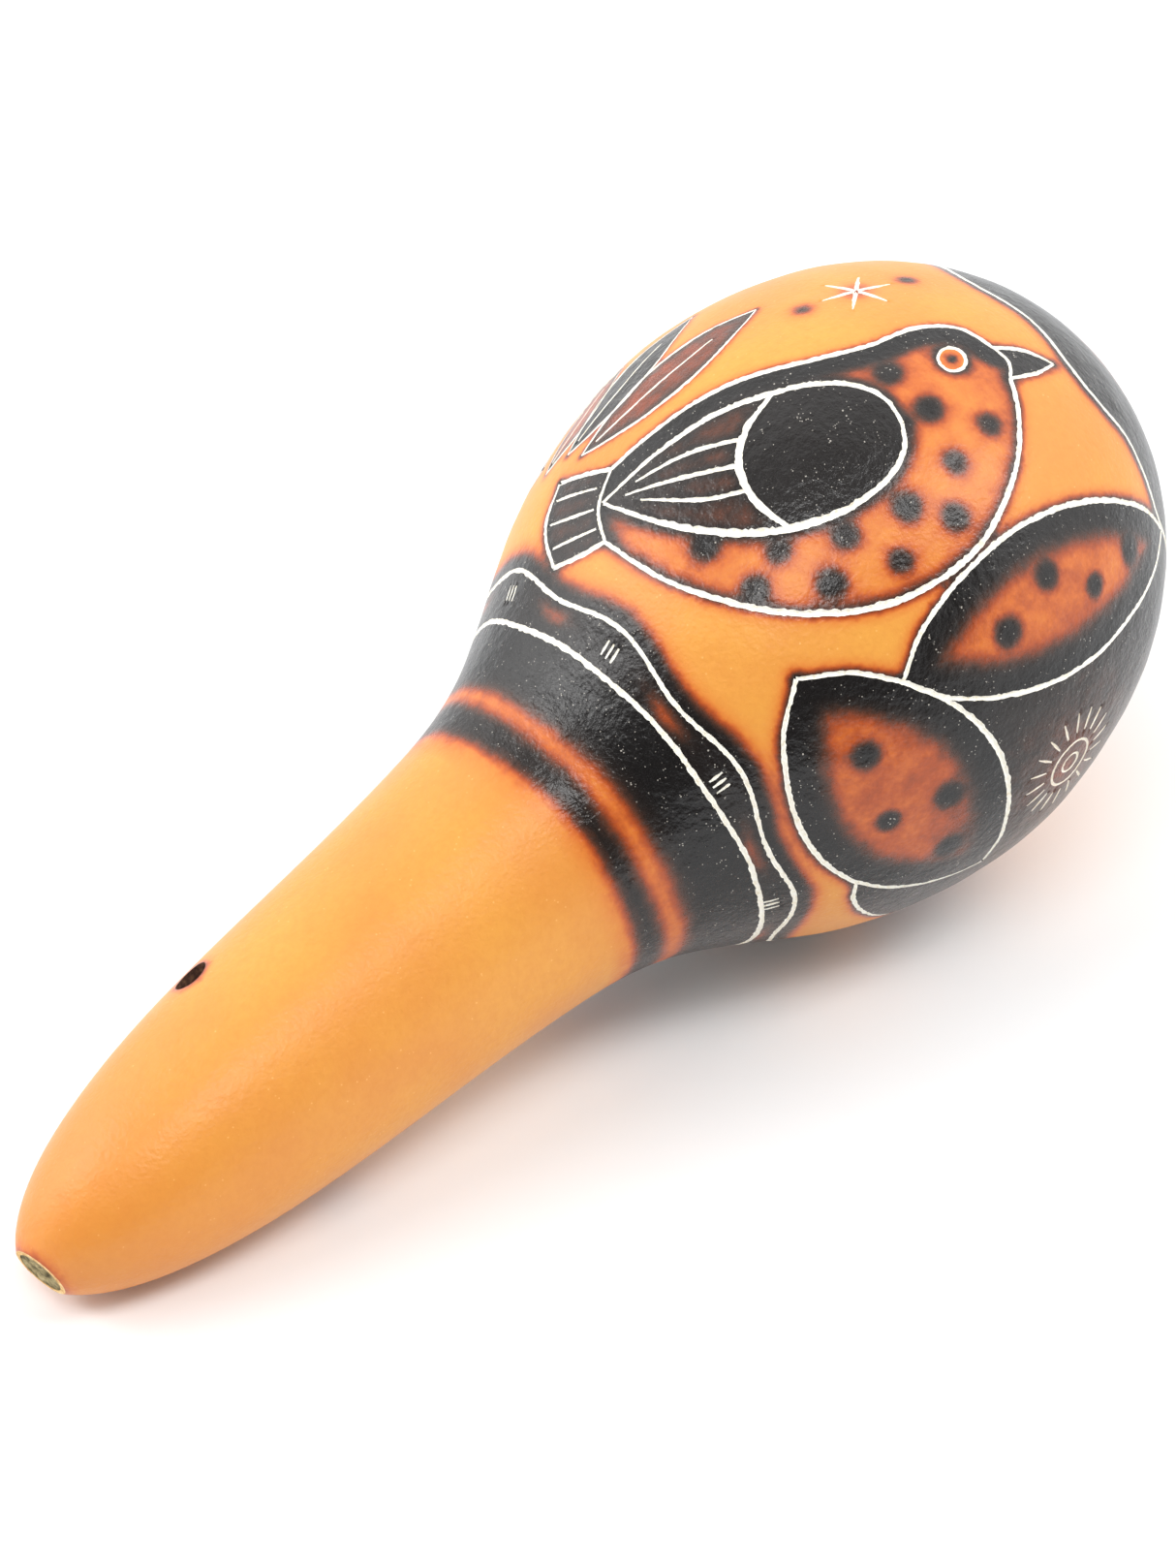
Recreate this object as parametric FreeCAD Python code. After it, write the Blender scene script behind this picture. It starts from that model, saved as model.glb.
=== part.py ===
import FreeCAD, Part
import math
import os

# Carved gourd maraca: one dried bottle gourd with its woody stem core and
# loose rattle seeds. Millimetres and degrees. The fruit is drawn standing on
# its cut end (fruit axis = local Z) and is then laid down, +Z up, with the
# head and the handle both touching Z = 0 and the length along +X.

# ---------------------------------------------------------------- dimensions
LENGTH = 190.0            # cut end to blossom end, along the fruit axis
STATIONS = (0.0, 0.04, 0.10, 0.17, 0.25, 0.33, 0.41, 0.48, 0.54,
            0.60, 0.66, 0.72, 0.78, 0.84, 0.90, 0.95, 0.98, 1.0)
RADII = (3.909, 9.527, 13.340, 15.725, 17.125, 18.173, 19.671, 22.559, 28.441,
         35.083, 39.227, 41.324, 41.120, 38.452, 33.120, 24.876, 16.239, 0.0)
SKEW = 0.0273             # natural skew: shift along the axis per mm across it
SCAR_RADIUS = 2.4         # flat scar where the blossom fell off
START_BELOW_CUT = 1.2     # the profile is drawn this far past the cut

CUT_SLOPE_X = -0.1508     # the stem end is sawn slightly out of square
CUT_SLOPE_Y = 0.0411

WALL_HEAD = 3.2           # thickness of the dried rind
WALL_HANDLE = 4.0
WALL_BLEND = (60.0, 105.0)
CAVITY_START = 9.5        # inner end of the hollow at the stem
CAVITY_START_RADIUS = 5.0
CAVITY_JOIN = 22.0        # from here on the hollow follows the outside

CORE_RADIUS = 3.3         # woody stem core, seen at the sawn end
CORE_OFFSET_X = -0.9
CORE_END = 10.5
CORE_CLEARANCE = 0.02

HOLE_RADIUS = 2.5         # drilled through the handle for a hanging cord
HOLE_STATION = 38.5
HOLE_ANGLE = 16.0

ROLL = -55.295            # how the fruit is turned about its own axis

SEED_RADII = (2.62, 2.50, 2.70, 2.55, 2.66, 2.46, 2.58, 2.72)
SEED_PITCH = 6.15
SEED_RINGS = 3
SEED_GAP = 0.20           # clearance to the wall at rest
SEED_TOP_GAP = 0.60       # clearance to the wall at the end of the travel

V = FreeCAD.Vector


# ------------------------------------------------------------------- profile
def natural_spline(xs, ys):
    n = len(xs)
    h = [xs[i + 1] - xs[i] for i in range(n - 1)]
    sub, dia, sup, rhs = [0.0] * n, [1.0] * n, [0.0] * n, [0.0] * n
    for i in range(1, n - 1):
        sub[i] = h[i - 1]
        dia[i] = 2.0 * (h[i - 1] + h[i])
        sup[i] = h[i]
        rhs[i] = 6.0 * ((ys[i + 1] - ys[i]) / h[i] - (ys[i] - ys[i - 1]) / h[i - 1])
    for i in range(1, n):
        w = sub[i] / dia[i - 1]
        dia[i] -= w * sup[i - 1]
        rhs[i] -= w * rhs[i - 1]
    m = [0.0] * n
    m[n - 1] = rhs[n - 1] / dia[n - 1]
    for i in range(n - 2, -1, -1):
        m[i] = (rhs[i] - sup[i] * m[i + 1]) / dia[i]

    def at(x):
        i = 0
        while i < n - 2 and x > xs[i + 1]:
            i += 1
        a = (xs[i + 1] - x) / h[i]
        b = (x - xs[i]) / h[i]
        y = (a * ys[i] + b * ys[i + 1]
             + ((a ** 3 - a) * m[i] + (b ** 3 - b) * m[i + 1]) * h[i] ** 2 / 6.0)
        dy = ((ys[i + 1] - ys[i]) / h[i]
              + (-(3 * a * a - 1) * m[i] + (3 * b * b - 1) * m[i + 1]) * h[i] / 6.0)
        return y, dy
    return at


SQUARE = natural_spline([f * LENGTH for f in STATIONS], [r * r for r in RADII])


def radius(s):
    q, dq = SQUARE(s)
    r = math.sqrt(max(q, 1e-9))
    return r, dq / (2.0 * r)


def station_of_radius(target, low, high):
    for _ in range(60):
        mid = 0.5 * (low + high)
        if radius(mid)[0] > target:
            low = mid
        else:
            high = mid
    return 0.5 * (low + high)


SCAR_STATION = station_of_radius(SCAR_RADIUS, 0.97 * LENGTH, LENGTH)


def smooth(t):
    t = min(1.0, max(0.0, t))
    return t * t * (3.0 - 2.0 * t)


def wall(s):
    t = smooth((s - WALL_BLEND[0]) / (WALL_BLEND[1] - WALL_BLEND[0]))
    return WALL_HANDLE + (WALL_HEAD - WALL_HANDLE) * t


def outer_points():
    out = []
    n = 46
    for i in range(n + 1):
        u = i / float(n)
        s = -START_BELOW_CUT + (SCAR_STATION + START_BELOW_CUT) * (1.0 - (1.0 - u) ** 1.6)
        out.append(V(radius(s)[0], 0, s))
    return out


def inner_points():
    out = [V(CAVITY_START_RADIUS, 0, CAVITY_START)]
    n = 40
    for i in range(n + 1):
        u = i / float(n)
        s = CAVITY_JOIN + (SCAR_STATION - CAVITY_JOIN) * (1.0 - (1.0 - u) ** 1.7)
        r, dr = radius(s)
        w = wall(s)
        k = math.sqrt(1.0 + dr * dr)
        p = V(r - w / k, 0, s + w * dr / k)
        if p.x < SCAR_RADIUS * 0.9:
            break
        out.append(p)
    return out


def turned(points):
    curve = Part.BSplineCurve()
    curve.interpolate(Points=points)
    low, high = points[0], points[-1]
    wire = Part.Wire([
        Part.makeLine(V(0, 0, low.z), low),
        curve.toShape(),
        Part.makeLine(high, V(0, 0, high.z)),
        Part.makeLine(V(0, 0, high.z), V(0, 0, low.z))])
    solid = Part.Face(wire).revolve(V(0, 0, 0), V(0, 0, 1), 360)
    if solid.Volume < 0:
        solid.reverse()
    skew = FreeCAD.Matrix(1, 0, 0, 0,
                          0, 1, 0, 0,
                          SKEW, 0, 1, 0,
                          0, 0, 0, 1)
    return solid.transformGeometry(skew)


# --------------------------------------------------------------- resting pose
def axes(rise):
    c, s = math.cos(rise), math.sin(rise)
    z = V(c, 0, s)
    b1 = V(-s, 0, c)
    b2 = z.cross(b1)
    t = math.radians(ROLL)
    x = b1 * math.cos(t) + b2 * math.sin(t)
    return x, z.cross(x), z


def samples(count, turns):
    out = []
    for i in range(count + 1):
        u = i / float(count)
        s = SCAR_STATION * (1.0 - (1.0 - u) ** 1.6)
        r = radius(s)[0]
        for j in range(turns):
            t = 2.0 * math.pi * j / turns
            out.append((s, V(r * math.cos(t), r * math.sin(t), s + SKEW * r * math.cos(t))))
    return out


CLOUD = samples(420, 240)


def level_gap(rise):
    x, y, z = axes(rise)
    up = V(x.z, y.z, z.z)
    handle = min(p.dot(up) for s, p in CLOUD if s < 90.0)
    head = min(p.dot(up) for s, p in CLOUD if s >= 90.0)
    return handle - head


low, high = math.radians(5.0), math.radians(25.0)
for _ in range(26):
    mid = 0.5 * (low + high)
    if level_gap(mid) > 0.0:
        low = mid
    else:
        high = mid
RISE = 0.5 * (low + high)
AX, AY, AZ = axes(RISE)


def spun(p):
    return AX * p.x + AY * p.y + AZ * p.z


corner = [spun(p) for s, p in CLOUD]
SHIFT = V(-0.5 * (min(p.x for p in corner) + max(p.x for p in corner)),
          -0.5 * (min(p.y for p in corner) + max(p.y for p in corner)),
          -min(p.z for p in corner))
LAY = FreeCAD.Placement(FreeCAD.Matrix(
    AX.x, AY.x, AZ.x, SHIFT.x,
    AX.y, AY.y, AZ.y, SHIFT.y,
    AX.z, AY.z, AZ.z, SHIFT.z,
    0, 0, 0, 1))


def laid(shape):
    out = shape.copy()
    out.Placement = LAY.multiply(out.Placement)
    return out


# --------------------------------------------------------------------- solids
outside = turned(outer_points())
hollow = turned(inner_points())

cut_normal = V(-CUT_SLOPE_X, -CUT_SLOPE_Y, 1.0)
cut_normal.normalize()
saw = Part.makeBox(60, 60, 20, V(-30, -30, -20))
saw.Placement = FreeCAD.Placement(V(0, 0, 0), FreeCAD.Rotation(V(0, 0, 1), cut_normal))

socket = Part.makeCylinder(CORE_RADIUS, CORE_END + 10.0, V(CORE_OFFSET_X, 0, -5.0))

hole_r = radius(HOLE_STATION)[0]
hole_t = math.radians(HOLE_ANGLE)
hole_dir = V(math.cos(hole_t), math.sin(hole_t), 0)
hole_mid = V(0, 0, HOLE_STATION + SKEW * hole_r * math.cos(hole_t))
drill = Part.makeCylinder(HOLE_RADIUS, 60.0, hole_mid - hole_dir * 30.0, hole_dir)

shell = outside.cut(hollow).cut(socket).cut(saw).cut(drill)
shell = laid(shell.Solids[0] if shell.ShapeType == "Compound" else shell)

core = Part.makeCylinder(CORE_RADIUS - CORE_CLEARANCE, CORE_END + 5.0, V(CORE_OFFSET_X, 0, -5.0))
core = core.cut(saw)
core = laid(core.Solids[0] if core.ShapeType == "Compound" else core)

parts = {"gourd_shell": shell, "stem_core": core}

# ---------------------------------------------------------------- rattle seeds
cavity = laid(hollow)
cavity_skin = cavity.Shells[0]
floor_dir = V(AX.z, AY.z, AZ.z)
pool = min((p.dot(floor_dir), i) for i, (s, p) in enumerate(CLOUD) if s >= 90.0)[1]
pool = LAY.multVec(CLOUD[pool][1])


def depth(p):
    return cavity_skin.distToShape(Part.Vertex(p))[0]


def settle(x, y, room, upward):
    centre = 46.0
    low, high = (centre, 90.0) if upward else (0.0, centre)
    for _ in range(22):
        mid = 0.5 * (low + high)
        p = V(x, y, mid)
        ok = cavity.isInside(p, 1e-6, False) and depth(p) >= room
        if upward:
            low, high = (mid, high) if ok else (low, mid)
        else:
            low, high = (low, mid) if ok else (mid, high)
    return low if upward else high


places = [(0.0, 0.0)]
for ring in range(1, SEED_RINGS + 1):
    for side in range(6):
        a0 = math.radians(60.0 * side + 11.0)
        a1 = math.radians(60.0 * (side + 1) + 11.0)
        for k in range(ring):
            f = k / float(ring)
            places.append((
                SEED_PITCH * ring * ((1 - f) * math.cos(a0) + f * math.cos(a1)),
                SEED_PITCH * ring * ((1 - f) * math.sin(a0) + f * math.sin(a1))))

report = []
for i, (dx, dy) in enumerate(places):
    r = SEED_RADII[(i * 5 + i // 8) % len(SEED_RADII)]
    x = pool.x + dx + 0.22 * math.sin(2.3 * i)
    y = pool.y + dy + 0.22 * math.cos(3.1 * i)
    z = settle(x, y, r + SEED_GAP, False)
    top = settle(x, y, r + SEED_TOP_GAP, True)
    name = "seed_%02d" % (i + 1)
    parts[name] = Part.makeSphere(r, V(x, y, z))
    report.append((name, r, x, y, z, top - z))

# ------------------------------------------------------------------------ out
os.makedirs("parts", exist_ok=True)
for name in sorted(parts):
    parts[name].exportStep("parts/%s.step" % name)

print("rise", math.degrees(RISE), "shift", SHIFT)
print("scar station", SCAR_STATION)
for name in ("gourd_shell", "stem_core"):
    s = parts[name]
    print(name, s.ShapeType, "valid", s.isValid(), "volume", s.Volume,
          "faces", len(s.Faces), "solids", len(s.Solids))
print("hole mid", LAY.multVec(hole_mid), "dir", spun(hole_dir))
bores = [f for f in shell.Faces if isinstance(f.Surface, Part.Cylinder)
         and abs(f.Surface.Radius - HOLE_RADIUS) < 1e-6]
ends = []
for f in bores:
    for e in f.Edges:
        for p in e.discretize(24):
            ends.append((p - LAY.multVec(hole_mid)).dot(spun(hole_dir)))
print("hole wall span", min(ends), max(ends), "faces", len(bores))
print("cut face centre", LAY.multVec(V(CORE_OFFSET_X, 0, CUT_SLOPE_X * CORE_OFFSET_X)),
      "normal out", spun(cut_normal * -1.0))
grip = LAY.multVec(V(0, 0, 60.0))
print("grip", grip, "axis", AZ)
for row in report:
    print("%s r %.2f at %.3f %.3f %.3f travel %.2f" % row)
print("bounds", shell.optimalBoundingBox(True, False))
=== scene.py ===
import math
import bpy
import numpy as np
from mathutils import Matrix, Vector
from mathutils.geometry import delaunay_2d_cdt


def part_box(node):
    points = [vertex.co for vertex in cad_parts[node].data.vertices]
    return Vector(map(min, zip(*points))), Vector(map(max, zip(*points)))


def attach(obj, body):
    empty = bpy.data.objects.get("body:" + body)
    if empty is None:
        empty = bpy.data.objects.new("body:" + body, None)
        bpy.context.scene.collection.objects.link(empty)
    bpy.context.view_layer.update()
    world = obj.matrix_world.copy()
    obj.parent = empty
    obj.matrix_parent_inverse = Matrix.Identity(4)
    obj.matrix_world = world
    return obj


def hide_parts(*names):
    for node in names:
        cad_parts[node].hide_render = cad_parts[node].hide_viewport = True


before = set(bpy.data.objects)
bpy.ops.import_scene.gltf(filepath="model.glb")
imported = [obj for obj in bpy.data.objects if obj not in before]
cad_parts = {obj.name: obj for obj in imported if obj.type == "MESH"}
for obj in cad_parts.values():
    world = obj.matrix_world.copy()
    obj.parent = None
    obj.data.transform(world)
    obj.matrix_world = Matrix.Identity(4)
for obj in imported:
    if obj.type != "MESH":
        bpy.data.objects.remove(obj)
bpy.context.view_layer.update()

MM = 0.001

# ---------------------------------------------------------------------------
# the fruit: the same profile, skew, cut and resting pose as the CAD solids (mm)
# ---------------------------------------------------------------------------
LENGTH = 190.0
STATIONS = np.array([0.0, 0.04, 0.10, 0.17, 0.25, 0.33, 0.41, 0.48, 0.54,
                     0.60, 0.66, 0.72, 0.78, 0.84, 0.90, 0.95, 0.98, 1.0]) * LENGTH
RADII = np.array([3.909, 9.527, 13.340, 15.725, 17.125, 18.173, 19.671, 22.559, 28.441,
                  35.083, 39.227, 41.324, 41.120, 38.452, 33.120, 24.876, 16.239, 0.0])
SKEW = 0.0273
SCAR_RADIUS = 2.4
CUT_X, CUT_Y = -0.1508, 0.0411
WALL_HEAD, WALL_HANDLE = 3.2, 4.0
WALL_BLEND = (60.0, 105.0)
CAVITY_START, CAVITY_START_RADIUS, CAVITY_JOIN = 9.5, 5.0, 22.0
CORE_RADIUS, CORE_OFFSET_X, CORE_END = 3.3, -0.9, 10.5
HOLE_RADIUS, HOLE_STATION, HOLE_ANGLE = 2.5, 38.5, 16.0
ROLL = math.radians(-55.295)
RISE = math.radians(13.735112)
SHIFT = np.array([-92.299178, 0.0, 8.496671])

HEAD_CENTRE = 141.0       # the directions of the drawing are seen from here
JOIN = 88.0               # the drawn head and the plain handle meet at this station


def spline_moments(xs, ys):
    n = len(xs)
    h = np.diff(xs)
    a = np.zeros((n, n))
    b = np.zeros(n)
    a[0, 0] = a[-1, -1] = 1.0
    for i in range(1, n - 1):
        a[i, i - 1], a[i, i], a[i, i + 1] = h[i - 1], 2 * (h[i - 1] + h[i]), h[i]
        b[i] = 6 * ((ys[i + 1] - ys[i]) / h[i] - (ys[i] - ys[i - 1]) / h[i - 1])
    return np.linalg.solve(a, b)


SQ = RADII ** 2
MOM = spline_moments(STATIONS, SQ)


def square(s):
    s = np.asarray(s, float)
    i = np.clip(np.searchsorted(STATIONS, s, side="right") - 1, 0, len(STATIONS) - 2)
    h = STATIONS[i + 1] - STATIONS[i]
    a = (STATIONS[i + 1] - s) / h
    b = (s - STATIONS[i]) / h
    y = a * SQ[i] + b * SQ[i + 1] + ((a ** 3 - a) * MOM[i] + (b ** 3 - b) * MOM[i + 1]) * h ** 2 / 6
    dy = (SQ[i + 1] - SQ[i]) / h + (-(3 * a * a - 1) * MOM[i] + (3 * b * b - 1) * MOM[i + 1]) * h / 6
    return y, dy


def radius(s):
    q, dq = square(s)
    r = np.sqrt(np.maximum(q, 1e-9))
    return r, dq / (2 * r)


def bisect(fn, low, high, steps=60):
    for _ in range(steps):
        mid = 0.5 * (low + high)
        if fn(mid) > 0:
            low = mid
        else:
            high = mid
    return 0.5 * (low + high)


SCAR = bisect(lambda s: radius(s)[0] - SCAR_RADIUS, 0.97 * LENGTH, LENGTH)


def smooth(t):
    t = np.clip(t, 0.0, 1.0)
    return t * t * (3 - 2 * t)


def wall(s):
    return WALL_HANDLE + (WALL_HEAD - WALL_HANDLE) * smooth((s - WALL_BLEND[0]) / (WALL_BLEND[1] - WALL_BLEND[0]))


def local(s, r, th):
    """Point of the fruit, local axes, mm."""
    x = r * np.cos(th)
    return np.stack([x, r * np.sin(th), s + SKEW * x], -1)


_z = np.array([math.cos(RISE), 0.0, math.sin(RISE)])
_b1 = np.array([-math.sin(RISE), 0.0, math.cos(RISE)])
_x = _b1 * math.cos(ROLL) + np.cross(_z, _b1) * math.sin(ROLL)
LAY = np.stack([_x, np.cross(_z, _x), _z], 1)


def row(p):
    """Local mm to the row frame in metres."""
    return (np.asarray(p) @ LAY.T + SHIFT) * MM


# tables along the profile
TS = np.concatenate([np.linspace(-1.2, 180.0, 6000), SCAR - (SCAR - 180.0) * np.linspace(1, 0, 2500)[1:] ** 2])
TR, TDR = radius(TS)
_ds = np.hypot(np.diff(TS), np.diff(TR))
TARC = np.concatenate([[0], np.cumsum(_ds)])
_w = np.concatenate([[0], np.cumsum(_ds * 2 / (TR[1:] + TR[:-1]))])
TW = _w[-1] - _w                      # integral of arc / r, from here to the scar
TCOL = np.degrees(np.arctan2(TR, TS - HEAD_CENTRE))


def conformal(s):
    """Radius of station s in the flat, angle-true map of the head, whose centre is the blossom end."""
    return SCAR_RADIUS * np.exp(np.interp(s, TS, TW))


def station_of_conformal(rho):
    return np.interp(-np.log(rho / SCAR_RADIUS), -TW, TS)


def normal(s, th):
    r, dr = radius(s)
    ct, st = np.cos(th), np.sin(th)
    ps = np.stack([dr * ct, dr * st, 1 + SKEW * dr * ct], -1)
    pt = np.stack([-r * st, r * ct, -SKEW * r * st], -1)
    n = np.cross(pt, ps)
    return n / np.linalg.norm(n, axis=-1, keepdims=True)


def hash_noise(n, seed, step=1.0, spacing=1.0):
    """Smooth repeatable 1-D noise in -1..1, sampled n times at spacing, with features of size step."""
    rng = np.random.RandomState(seed)
    m = int(math.ceil(n * spacing / step)) + 4
    v = rng.uniform(-1, 1, m)
    t = np.arange(n) * spacing / step + 1.0
    i = t.astype(int)
    f = smooth(t - i)
    return v[i] * (1 - f) + v[i + 1] * f


# ---------------------------------------------------------------------------
# the drawing: a plain bird, pointed leaves, a rosette and a six-rayed star, laid
# out from simple shapes in mm right and up from the middle of the drawn side.
# It is this model's own composition. Line widths are in mm.
# ---------------------------------------------------------------------------
def bird_at(pts):
    """The bird's own axes (along it, towards its back) to the layout."""
    a = math.radians(16.0)
    return np.array([-4.5, 18.0]) + 1.10 * np.asarray(pts, float) @ np.array([[math.cos(a), math.sin(a)], [-math.sin(a), math.cos(a)]])


def blade(base, tip, half, side, blunt=0.8, n=13):
    """One edge of a plain pointed leaf, from its base to its tip."""
    base, tip = np.array(base, float), np.array(tip, float)
    t = np.linspace(0, 1, n)
    d = tip - base
    out = np.array([-d[1], d[0]]) / np.hypot(d[0], d[1])
    w = np.where((t > 0) & (t < 1), np.maximum(np.sin(math.pi * t), 0) ** blunt, 0.0)
    return base + t[:, None] * d + (side * half * w)[:, None] * out


LEAVES = {                # name: base, tip, half width, bluntness
    "leaf_one": ((58.0, 12.0), (9.6, -10.8), 11.6, 0.70),
    "leaf_two": ((28.0, -46.0), (-4.0, -10.0), 14.0, 0.70),
    "blade_1": ((-39.0, 21.0), (-13.0, 46.5), 4.5, 0.9),
    "blade_2": ((-43.0, 22.0), (-27.0, 51.5), 4.3, 0.9),
    "blade_3": ((-48.0, 19.5), (-41.0, 43.5), 3.4, 0.9),
}
LINES = {                 # points in the layout, widths along the line
    "back": (bird_at([(29.5, 9), (26, 13), (20, 14.5), (13, 13.2), (5, 13), (-5, 13.2), (-15, 10.8), (-24, 6.5)]),
             [0.8, 0.9, 0.9, 1.0, 0.9, 0.8]),
    "front": (bird_at([(30, 4), (29, -1.5), (25.5, -9), (17.5, -16.5), (6, -19.5), (-6, -17.2), (-17, -11), (-25, -3.5)]),
              [0.8, 1.0, 1.15, 1.1, 1.0, 0.8]),
    "root": (bird_at([(-24, 6.5), (-25.8, 1.5), (-25, -3.5)]), [0.6, 0.8, 0.6]),
    "tail_up": (bird_at([(-24, 6.5), (-28.5, 7.4), (-33, 8)]), [0.8, 0.9, 0.8]),
    "tail_end": (bird_at([(-33, 8), (-34.6, 1.8), (-32.5, -4.5)]), [0.7, 0.9, 0.7]),
    "tail_low": (bird_at([(-32.5, -4.5), (-28.5, -4.2), (-25, -3.5)]), [0.8, 0.9, 0.8]),
    "quill_1": (bird_at([(-26.2, 4.4), (-30, 4.9), (-33.2, 5.2)]), [0.4, 0.6, 0.4]),
    "quill_2": (bird_at([(-26.6, 1.4), (-30, 1.5), (-33.8, 1.7)]), [0.4, 0.6, 0.4]),
    "quill_3": (bird_at([(-26.2, -1.4), (-30, -1.7), (-32.9, -1.9)]), [0.4, 0.6, 0.4]),
    "beak_up": (bird_at([(29.5, 9), (34, 8), (38, 5.4)]), [0.7, 0.8, 0.5]),
    "beak_down": (bird_at([(38, 5.4), (34, 4.2), (30, 4)]), [0.5, 0.8, 0.7]),
    "beak_base": (bird_at([(29.5, 9), (30.7, 6.5), (30, 4)]), [0.6, 0.75, 0.6]),
    "wing_up": (bird_at([(13.5, 1), (12.6, 4.4), (9.6, 7.4), (4.5, 9.2), (-1, 9.6), (-8, 9.2), (-17, 6.4), (-25.2, 1.8)]), [0.7, 1.0, 1.1, 1.1, 0.9, 0.6]),
    "wing_down": (bird_at([(13.5, 1), (12.8, -2.2), (10, -5.2), (4.5, -7.6), (-3, -8.2), (-10, -6.8), (-17.5, -3.4), (-25.2, 1.8)]), [0.7, 1.1, 1.35, 1.3, 1.0, 0.6]),
    "cover": (bird_at([(-1, 9.6), (-5.6, 5.2), (-7.2, 0.8), (-6.2, -4), (-3, -8.2)]), [0.8, 1.2, 1.35, 1.2, 0.8]),
    "vane_1": (bird_at([(-6.4, 4.4), (-13, 4.7), (-20.5, 3.2)]), [0.8, 0.8, 0.35]),
    "vane_2": (bird_at([(-7.2, 1), (-14, 1.6), (-22.0, 1.8)]), [0.8, 0.85, 0.35]),
    "vane_3": (bird_at([(-6.6, -2.4), (-12.5, -1.9), (-20.0, 0.5)]), [0.8, 0.8, 0.35]),
    "vine": ([(4.4, -40.0), (4.2, -44.0), (6.2, -49.5), (11.9, -57.2)], [0.8, 0.8, 0.6]),
}
for _n, (_a, _b, _h, _k) in LEAVES.items():
    _w = [0.7, 0.95, 1.0, 0.95, 0.7] if _n[0] == "l" else [0.4, 0.6, 0.65, 0.5, 0.3]
    LINES[_n + "_l"] = (blade(_a, _b, _h, 1, _k), _w)
    LINES[_n + "_r"] = (blade(_a, _b, _h, -1, _k), _w)
    if _n[0] == "b":
        LINES[_n + "_m"] = (blade(_a, _b, 0.0, 1, _k)[1:10], [0.4, 0.5, 0.3])
SPOTS = bird_at([(-13, -7.6), (-5, -10.4), (3, -10.6), (11, -9.2), (18.5, -5.4), (-8.5, -14.0), (0, -15.6), (8.5, -15.2),
                 (16.5, -12.0), (17.5, 2.0), (24.5, -1.6), (14, 8.2)])
EYE = bird_at([(23.0, 8.4)])[0]
STAR, ROSETTE = (3.5, 48.5), (41.0, -27.0)
LEAF_SPOTS = {"leaf_one": [(47.0, 7.5), (39.5, 2.0), (30.5, 3.2), (24.5, -4.6)],
              "leaf_two": [(17.5, -27.5), (8.5, -30.0), (5.0, -20.0), (19.0, -37.5)]}



def to_dir(pts):
    pts = np.asarray(pts, float)
    c = np.radians(np.hypot(pts[:, 0], pts[:, 1]))
    t = np.arctan2(pts[:, 1], pts[:, 0])
    return np.stack([np.sin(c) * np.cos(t), np.sin(c) * np.sin(t), np.cos(c)], -1)


def from_dir(d):
    d = d / np.linalg.norm(d, axis=-1, keepdims=True)
    c = np.degrees(np.arccos(np.clip(d[..., 2], -1, 1)))
    s = np.interp(-c, -TCOL, TS)
    return s, np.arctan2(d[..., 1], d[..., 0])


def catmull(p, closed=False, per=24):
    p = np.asarray(p, float)
    if closed:
        q = np.vstack([p[-1], p, p[0], p[1]])
    else:
        q = np.vstack([2 * p[0] - p[1], p, 2 * p[-1] - p[-2]])
    out = []
    for i in range(1, len(q) - 2):
        p0, p1, p2, p3 = q[i - 1], q[i], q[i + 1], q[i + 2]
        t0 = 0.0
        t1 = t0 + max(np.linalg.norm(p1 - p0), 1e-9) ** 0.5
        t2 = t1 + max(np.linalg.norm(p2 - p1), 1e-9) ** 0.5
        t3 = t2 + max(np.linalg.norm(p3 - p2), 1e-9) ** 0.5
        t = np.linspace(t1, t2, per, endpoint=False)[:, None]
        a1 = (t1 - t) / (t1 - t0) * p0 + (t - t0) / (t1 - t0) * p1
        a2 = (t2 - t) / (t2 - t1) * p1 + (t - t1) / (t2 - t1) * p2
        a3 = (t3 - t) / (t3 - t2) * p2 + (t - t2) / (t3 - t2) * p3
        b1 = (t2 - t) / (t2 - t0) * a1 + (t - t0) / (t2 - t0) * a2
        b2 = (t3 - t) / (t3 - t1) * a2 + (t - t1) / (t3 - t1) * a3
        out.append((t2 - t) / (t2 - t1) * b1 + (t - t1) / (t2 - t1) * b2)
    out = np.vstack(out)
    return out if closed else np.vstack([out, p[-1]])


def even(s, th, step, closed=False):
    """Resamples a line on the surface to even steps in mm."""
    p = local(s, radius(s)[0], th)
    if closed:
        p = np.vstack([p, p[0]])
        s = np.append(s, s[0])
        th = np.append(th, th[0])
    d = np.concatenate([[0], np.cumsum(np.linalg.norm(np.diff(p, axis=0), axis=1))])
    n = max(3, int(round(d[-1] / step)) + 1)
    t = np.linspace(0, d[-1], n)
    th = np.unwrap(th)
    s, th = np.interp(t, d, s), np.interp(t, d, th)
    return (s[:-1], th[:-1], d[-1]) if closed else (s, th, d[-1])


STEP = 0.40


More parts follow.
